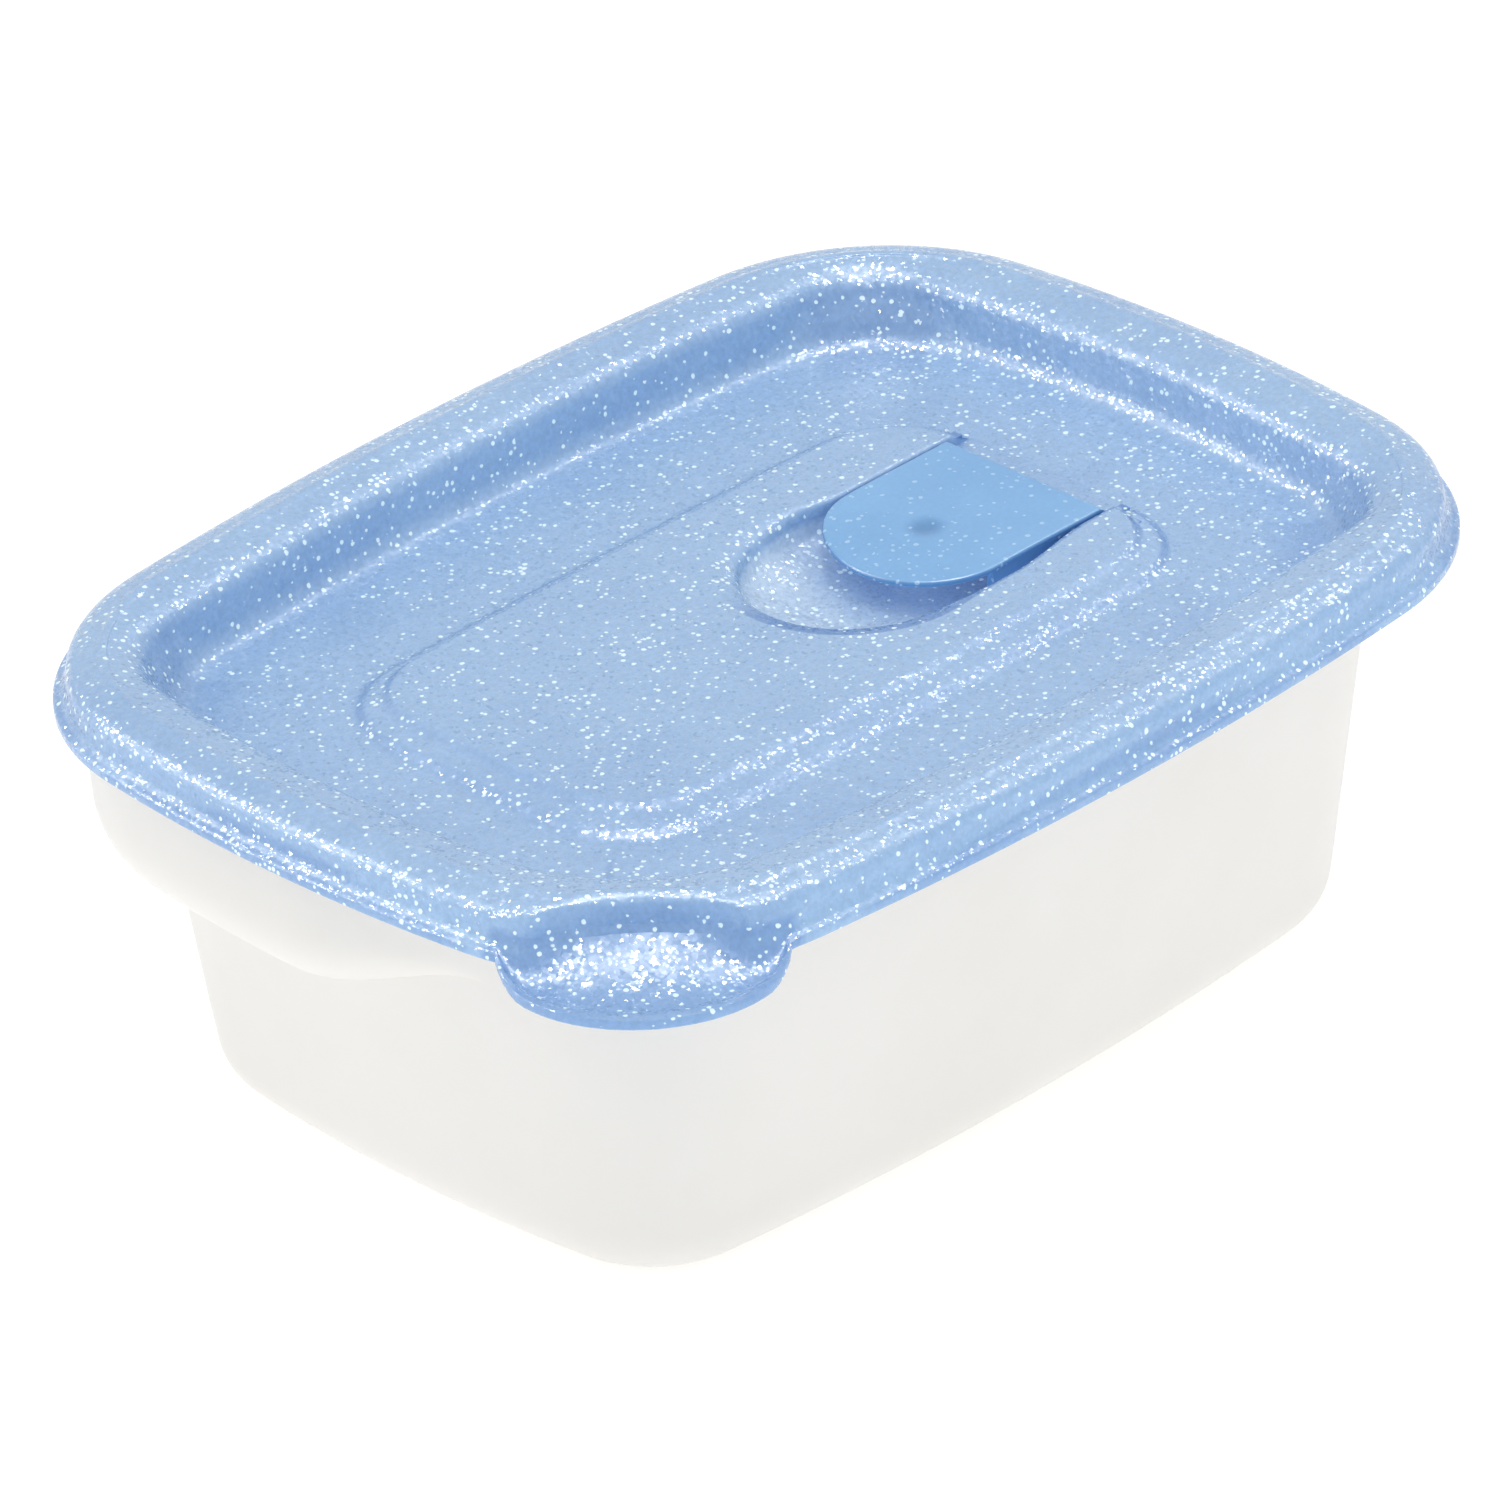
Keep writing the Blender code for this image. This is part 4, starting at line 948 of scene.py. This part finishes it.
def frosted_plastic(name, light, deep, spark, rough, coat):
    """Coloured translucent polypropylene with a fine spark-eroded grain that glitters,
    through tilted facets and through painted glints: bright flecks painted into the colour,
    with a glow.

    The mesh's deep attribute leads from light to deep, which is partly the tone of thick
    plastic and partly painted shade, and below 0 to a pale colour with a glow: painted
    light where light would come through.
    """
    nodes = Nodes(name)
    shader = nodes.shader
    cloud = nodes.noise(48.0, 3.0)
    grain = nodes.noise(1400.0, 2.0, 0.6)
    # Deep colour, partly the tone of thick plastic and partly painted shade, with a random
    # cloud of tone
    amount = nodes.math("ADD", nodes.attribute("deep"),
                        nodes.ramp(cloud, 0.3, 0.7, -0.10, 0.14), clamp=True)
    base = nodes.blend(amount, light, deep)
    # Painted light: below 0 the attribute leads to a pale colour
    painted_light = nodes.math("MULTIPLY", nodes.attribute("deep"), -1.0, clamp=True)
    base = nodes.blend(painted_light, base, PAINTED_LIGHT_COLOUR)
    toned = nodes.add("ShaderNodeHueSaturation")
    nodes.feed(toned.inputs["Color"], base)
    nodes.feed(toned.inputs["Value"], nodes.ramp(grain, 0.3, 0.7, 1.0 - 0.07 * spark,
                                                 1.0 + 0.05 * spark))
    # Painted glints mixed into the colour
    painted_glints = painted_glint_mask(nodes, spark)
    colour = nodes.blend(painted_glints, toned.outputs["Color"], PAINTED_GLINT_COLOUR)
    nodes.feed(shader.inputs["Base Color"], colour)
    # Painted glow: the pale pocket floor and the painted glints
    nodes.feed(shader.inputs["Emission Color"], colour)
    nodes.feed(shader.inputs["Emission Strength"],
               nodes.math("ADD", nodes.math("MULTIPLY", painted_light, PAINTED_LIGHT_GLOW),
                          nodes.math("MULTIPLY", painted_glints, PAINTED_GLINT_GLOW)))
    nodes.feed(shader.inputs["Roughness"],
               nodes.ramp(nodes.noise(240.0, 2.0), 0.3, 0.7, rough - 0.05, rough + 0.07))
    shader.inputs["Specular IOR Level"].default_value = 0.5
    shader.inputs["Subsurface Weight"].default_value = 0.10
    shader.inputs["Subsurface Radius"].default_value = (0.7, 0.9, 1.2)
    shader.inputs["Subsurface Scale"].default_value = 0.0015
    shader.inputs["Coat Weight"].default_value = coat
    shader.inputs["Coat IOR"].default_value = 1.5
    shader.inputs["Coat Roughness"].default_value = 0.17
    nodes.feed(shader.inputs["Normal"], facet_normal(nodes, GRAIN_SCALE, 0.10 * spark))
    nodes.feed(shader.inputs["Coat Normal"],
               facet_normal(nodes, COAT_GRAIN_SCALE, 0.24 * spark))
    return nodes.material


def painted_glint_mask(nodes, spark):
    """Painted glints: small bright flecks standing in for sparkles of light, in loose
    clusters.
    """
    wobble = nodes.add("ShaderNodeTexNoise")
    nodes.feed(wobble.inputs["Vector"], nodes.place)
    wobble.inputs["Scale"].default_value = GLINT_WOBBLE_SCALE
    shifted = nodes.vector_math("MULTIPLY_ADD", wobble.outputs["Color"],
                                (GLINT_WOBBLE,) * 3, nodes.place)
    cells = nodes.cells(GLINT_SCALE, vector=shifted)
    parts = nodes.add("ShaderNodeSeparateColor")
    nodes.feed(parts.inputs["Color"], cells.outputs["Color"])
    crowd = nodes.ramp(nodes.noise(130.0, 2.0), 0.33, 0.68, 0.88, 0.58)
    chosen = nodes.math("GREATER_THAN", parts.outputs["Red"], crowd)
    size = nodes.ramp(parts.outputs["Green"], 0.0, 1.0, 0.22, 0.44, smooth=False)
    inside = nodes.ramp(nodes.math("SUBTRACT", cells.outputs["Distance"], size),
                        -0.10, 0.06, 1.0, 0.0)
    shown = nodes.math("MULTIPLY", chosen, inside)
    return nodes.math("MULTIPLY", shown, PAINTED_GLINT_COVER * spark)


def facet_normal(nodes, scale, tilt):
    """Surface direction turned a little from one grain facet to the next."""
    spread = nodes.vector_math("MULTIPLY_ADD", nodes.cells(scale).outputs["Color"],
                               (2.0 * tilt,) * 3, (-tilt,) * 3)
    surface = nodes.add("ShaderNodeNewGeometry").outputs["Normal"]
    return nodes.vector_math("NORMALIZE", nodes.vector_math("ADD", surface, spread))


def milky_plastic(name):
    """Natural translucent polypropylene of the tub."""
    nodes = Nodes(name)
    shader = nodes.shader
    cloud = nodes.ramp(nodes.noise(40.0, 3.0), 0.3, 0.7)
    nodes.feed(shader.inputs["Base Color"],
               nodes.blend(cloud, srgb(246, 243, 237), srgb(249, 246, 241)))
    nodes.feed(shader.inputs["Roughness"], nodes.ramp(nodes.noise(180.0, 2.0), 0.3, 0.7,
                                                      0.38, 0.48))
    shader.inputs["Subsurface Weight"].default_value = 0.35
    shader.inputs["Subsurface Radius"].default_value = (1.2, 1.1, 1.0)
    shader.inputs["Subsurface Scale"].default_value = 0.003
    bump = nodes.add("ShaderNodeBump")
    bump.inputs["Strength"].default_value = 0.08
    bump.inputs["Distance"].default_value = 0.0001
    nodes.feed(bump.inputs["Height"], nodes.noise(420.0, 3.0))
    nodes.feed(shader.inputs["Normal"], bump.outputs["Normal"])
    return nodes.material


def paint_depth(made, rule):
    """Stores how deep the colour looks at every point of the mesh, -1 pale to 1 deep: above
    0 partly thick plastic and partly painted shade, below 0 painted light.
    """
    data = made.data
    depth = data.attributes.new("deep", "FLOAT", "POINT")
    values = []
    for vertex in data.vertices:
        place = vertex.co / MM
        place.z -= EDGE_Z
        values.append(rule(place, vertex.normal))
    depth.data.foreach_set("value", values)


# Where the colour looks deeper, partly thick plastic and partly painted shade, and where
# painted light makes it pale; places are in mm with z above the lid edge
ISLAND_ZONE_X = 52.0
ISLAND_ZONE_Y = 36.0
EDGE_ZONE_X = 76.2
EDGE_ZONE_Y = 57.7
EDGE_ZONE_Z = (-2.5, 3.8)
CORNER_SPREAD = math.radians(38.0)
DISH_TOP_Z = 3.2
DISH_SIDE_TURN = math.radians(9.0)
DISH_SIDE_LAST = math.radians(34.0)
LIP_REACH = 1.55
LIP_FADE_Y = 9.0
LIP_FADE = 12.0
BOWL_TOP_Z = -2.4
BOWL_PAINTED_LIGHT = -0.9


def corner_share(place):
    """1 in the middle of a lid corner, 0 along the straight sides."""
    turn = math.atan2(abs(place.y) - CORNER_CENTRE.y, abs(place.x) - CORNER_CENTRE.x)
    return smooth_step(1.0 - abs(turn - math.pi / 4.0) / CORNER_SPREAD)


def dish_side_share(place):
    """Mask of painted shade beside the tab's dish: 1 towards its two sides, 0 in its middle
    and everywhere else.
    """
    if place.x > 0.0 or place.y > 0.0 or place.z > DISH_TOP_Z:
        return 0.0
    turn = abs(tab_turn(Vector((place.x, place.y))))
    if turn > DISH_SIDE_LAST:
        return 0.0
    return smooth_step(turn / DISH_SIDE_TURN - 1.0)


def lid_depth(place, normal):
    """Steep walls look deeper round a corner, and so does the lid's edge, partly the tone
    of thick plastic and partly painted shade; the sides of the dish get painted shade.
    """
    steep = smooth_step((1.0 - abs(normal.z)) / 0.6)
    if abs(place.x) < ISLAND_ZONE_X and abs(place.y) < ISLAND_ZONE_Y:
        return island_depth(place, normal, steep)
    # Painted shade on steep corner walls and beside the tab's dish
    corner = corner_share(place)
    depth = max(steep * 0.5 * corner, 0.5 * dish_side_share(place))
    # Lid edge and outer skirt: partly thick plastic, partly painted shade
    outside = abs(place.x) > EDGE_ZONE_X or abs(place.y) > EDGE_ZONE_Y or corner > 0.4
    if outside and EDGE_ZONE_Z[0] < place.z < EDGE_ZONE_Z[1]:
        flange = smooth_step((1.9 - place.z) / 0.5)
        depth = max(depth, 0.35 * flange, 0.35 * steep)
    return depth


def pocket_distance(place):
    """Distance outside the pocket's outline, negative inside."""
    if place.x < POCKET_NOSE_X:
        return math.hypot(place.x - POCKET_NOSE_X, place.y) - POCKET_HALF_Y
    return abs(place.y) - pocket_half(place.x, place.y)


def island_depth(place, normal, steep):
    """Painted shade: a deep band down the pocket's lip on its near side, and deeper slopes
    round the island, most where they face +X and +Y. Painted light: a pale, glowing pocket
    floor.
    """
    if pocket_distance(place) > LIP_REACH or place.x > POCKET_END_X:
        # Painted shade on the island's slopes, strongest where they face +X and +Y
        slope = smooth_step((1.0 - normal.z) / 0.10)
        far_side = 0.9 * max(0.0, normal.y) + 1.6 * max(0.0, normal.x)
        return max(steep * 0.12, slope * (0.12 + far_side))
    # Painted light: the pocket floor goes pale and glows
    if place.z < BOWL_TOP_Z:
        return BOWL_PAINTED_LIGHT
    # Painted shade down the pocket's lip, on its near side
    below_edge = smooth_step((ISLAND_TOP - place.z) / 0.04)
    above_floor = smooth_step((place.z + 1.9) / 0.9)
    near_side = smooth_step((LIP_FADE_Y - place.y) / LIP_FADE)
    return 0.95 * below_edge * above_floor * near_side


def flap_depth(place, normal):
    """The rim and the skirts of the flap look deeper than its face, partly thick plastic
    seen edge-on and partly painted shade; the dimple looks deeper too.
    """
    # Partly painted shade on the flap's steep rim and skirts
    side = 0.8 * smooth_step((1.0 - abs(normal.z)) / 0.7)
    dimple = smooth_step(1.3 - math.hypot(place.x - VENT_X, place.y) / DIMPLE_RADIUS)
    if place.z < FLAP_TOP - 1.0:
        dimple = 0.0
    return max(side, 0.7 * dimple)


# ------------------------------------------------------------ light, floor, camera

LIGHT_AIM = Vector((0.0, 0.0, 0.03))
FLOOR_RADIUS = 3000.0
FLOOR_GAP = 0.02


def soft_box(name, direction, distance, width, height, radiance, gloss_only=True):
    """Rectangular light that faces the container; sizes and distance in metres.

    A gloss_only light shows in reflections and adds nothing to the diffuse light.
    """
    light = bpy.data.lights.new(name, "AREA")
    light.shape = "RECTANGLE"
    light.size = width
    light.size_y = height
    light.energy = 4.0 * radiance * width * height
    lamp = bpy.data.objects.new(name, light)
    bpy.context.scene.collection.objects.link(lamp)
    way = Vector(direction).normalized()
    lamp.location = LIGHT_AIM + way * distance
    lamp.rotation_mode = "QUATERNION"
    lamp.rotation_quaternion = (-way).to_track_quat("-Z", "Y")
    lamp.visible_diffuse = not gloss_only


def build_studio():
    """White surroundings, four soft boxes seen in the gloss, and a weak fill."""
    world = bpy.data.worlds.new("studio")
    bpy.context.scene.world = world
    world.use_nodes = True
    background = world.node_tree.nodes["Background"]
    background.inputs["Color"].default_value = (1.0, 1.0, 1.0, 1.0)
    background.inputs["Strength"].default_value = 0.80
    soft_box("overhead", (0.0, 0.0, 1.0), 1.2, 0.27, 0.27, 52.0)
    soft_box("left_low", (-0.72, 0.63, 0.28), 1.3, 0.16, 0.30, 32.0)
    soft_box("left_high", (-0.45, 0.63, 0.64), 1.3, 0.20, 0.40, 33.0)
    soft_box("right_high", (0.6, 0.0, 0.8), 1.3, 0.25, 0.25, 15.0)
    soft_box("top_fill", (0.1, -0.1, 1.0), 1.4, 0.5, 0.5, 1.8, gloss_only=False)


def build_floor():
    """Round pale floor just under the tub."""
    mesh = bmesh.new()
    bmesh.ops.create_circle(mesh, cap_ends=True, segments=64, radius=FLOOR_RADIUS)
    bmesh.ops.translate(mesh, verts=mesh.verts, vec=(0.0, 0.0, -FLOOR_GAP))
    nodes = Nodes("floor_paper")
    nodes.shader.inputs["Base Color"].default_value = (0.86, 0.86, 0.86, 1.0)
    nodes.shader.inputs["Roughness"].default_value = 0.9
    nodes.shader.inputs["Emission Color"].default_value = (1.0, 1.0, 1.0, 1.0)
    nodes.shader.inputs["Emission Strength"].default_value = 0.35
    floor = finish("floor", mesh, nodes.material)


# Camera: turned round Z, raised and rolled; distance and aim in mm, lens for a 36 mm sensor
CAMERA_TURN = math.radians(-43.6527)
CAMERA_RISE = math.radians(29.8974)
CAMERA_ROLL = math.radians(-2.96434)
CAMERA_DISTANCE = 1623.70
CAMERA_LENS = 337.618
AIM_RIGHT = -1.2815
AIM_UP = -15.9739


def build_camera():
    """Long lens looking down on the tab corner."""
    data = bpy.data.cameras.new("camera")
    data.lens = CAMERA_LENS
    data.sensor_width = 36.0
    data.clip_start = 0.1
    data.clip_end = 20.0
    camera = bpy.data.objects.new("camera", data)
    bpy.context.scene.collection.objects.link(camera)
    bpy.context.scene.camera = camera
    back = Vector((math.sin(CAMERA_TURN) * math.cos(CAMERA_RISE),
                   -math.cos(CAMERA_TURN) * math.cos(CAMERA_RISE), math.sin(CAMERA_RISE)))
    right = Vector((math.cos(CAMERA_TURN), math.sin(CAMERA_TURN), 0.0))
    up = back.cross(right)
    turned_right = right * math.cos(CAMERA_ROLL) + up * math.sin(CAMERA_ROLL)
    turned_up = up * math.cos(CAMERA_ROLL) - right * math.sin(CAMERA_ROLL)
    aim = turned_right * AIM_RIGHT + turned_up * AIM_UP + Vector((0.0, 0.0, EDGE_Z))
    spot = (aim + back * CAMERA_DISTANCE) * MM
    camera.matrix_world = Matrix((
        (turned_right.x, turned_up.x, back.x, spot.x),
        (turned_right.y, turned_up.y, back.y, spot.y),
        (turned_right.z, turned_up.z, back.z, spot.z),
        (0.0, 0.0, 0.0, 1.0)))


# ------------------------------------------------------------ scene

lid_paint = frosted_plastic("lid_blue", srgb(156, 195, 238), srgb(84, 140, 208),
                            spark=1.0, rough=0.42, coat=1.0)
flap_paint = frosted_plastic("flap_blue", srgb(138, 192, 243), srgb(84, 142, 200),
                             spark=0.35, rough=0.34, coat=0.1)
tub_paint = milky_plastic("tub_milk")

tub = build_tub(tub_paint)
lid = build_lid(lid_paint)
flap = build_flap(flap_paint)
paint_depth(lid, lid_depth)
paint_depth(flap, flap_depth)

for made, node, body, slot in ((tub, "tub", "tub", "milky_plastic"),
                               (lid, "lid", "lid", "frosted_blue_plastic"),
                               (flap, "valve_flap", "valve_flap", "valve_blue_plastic")):
    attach(made, body)
    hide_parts(node)

build_floor()
build_studio()
build_camera()
bpy.context.scene.view_settings.view_transform = "Standard"
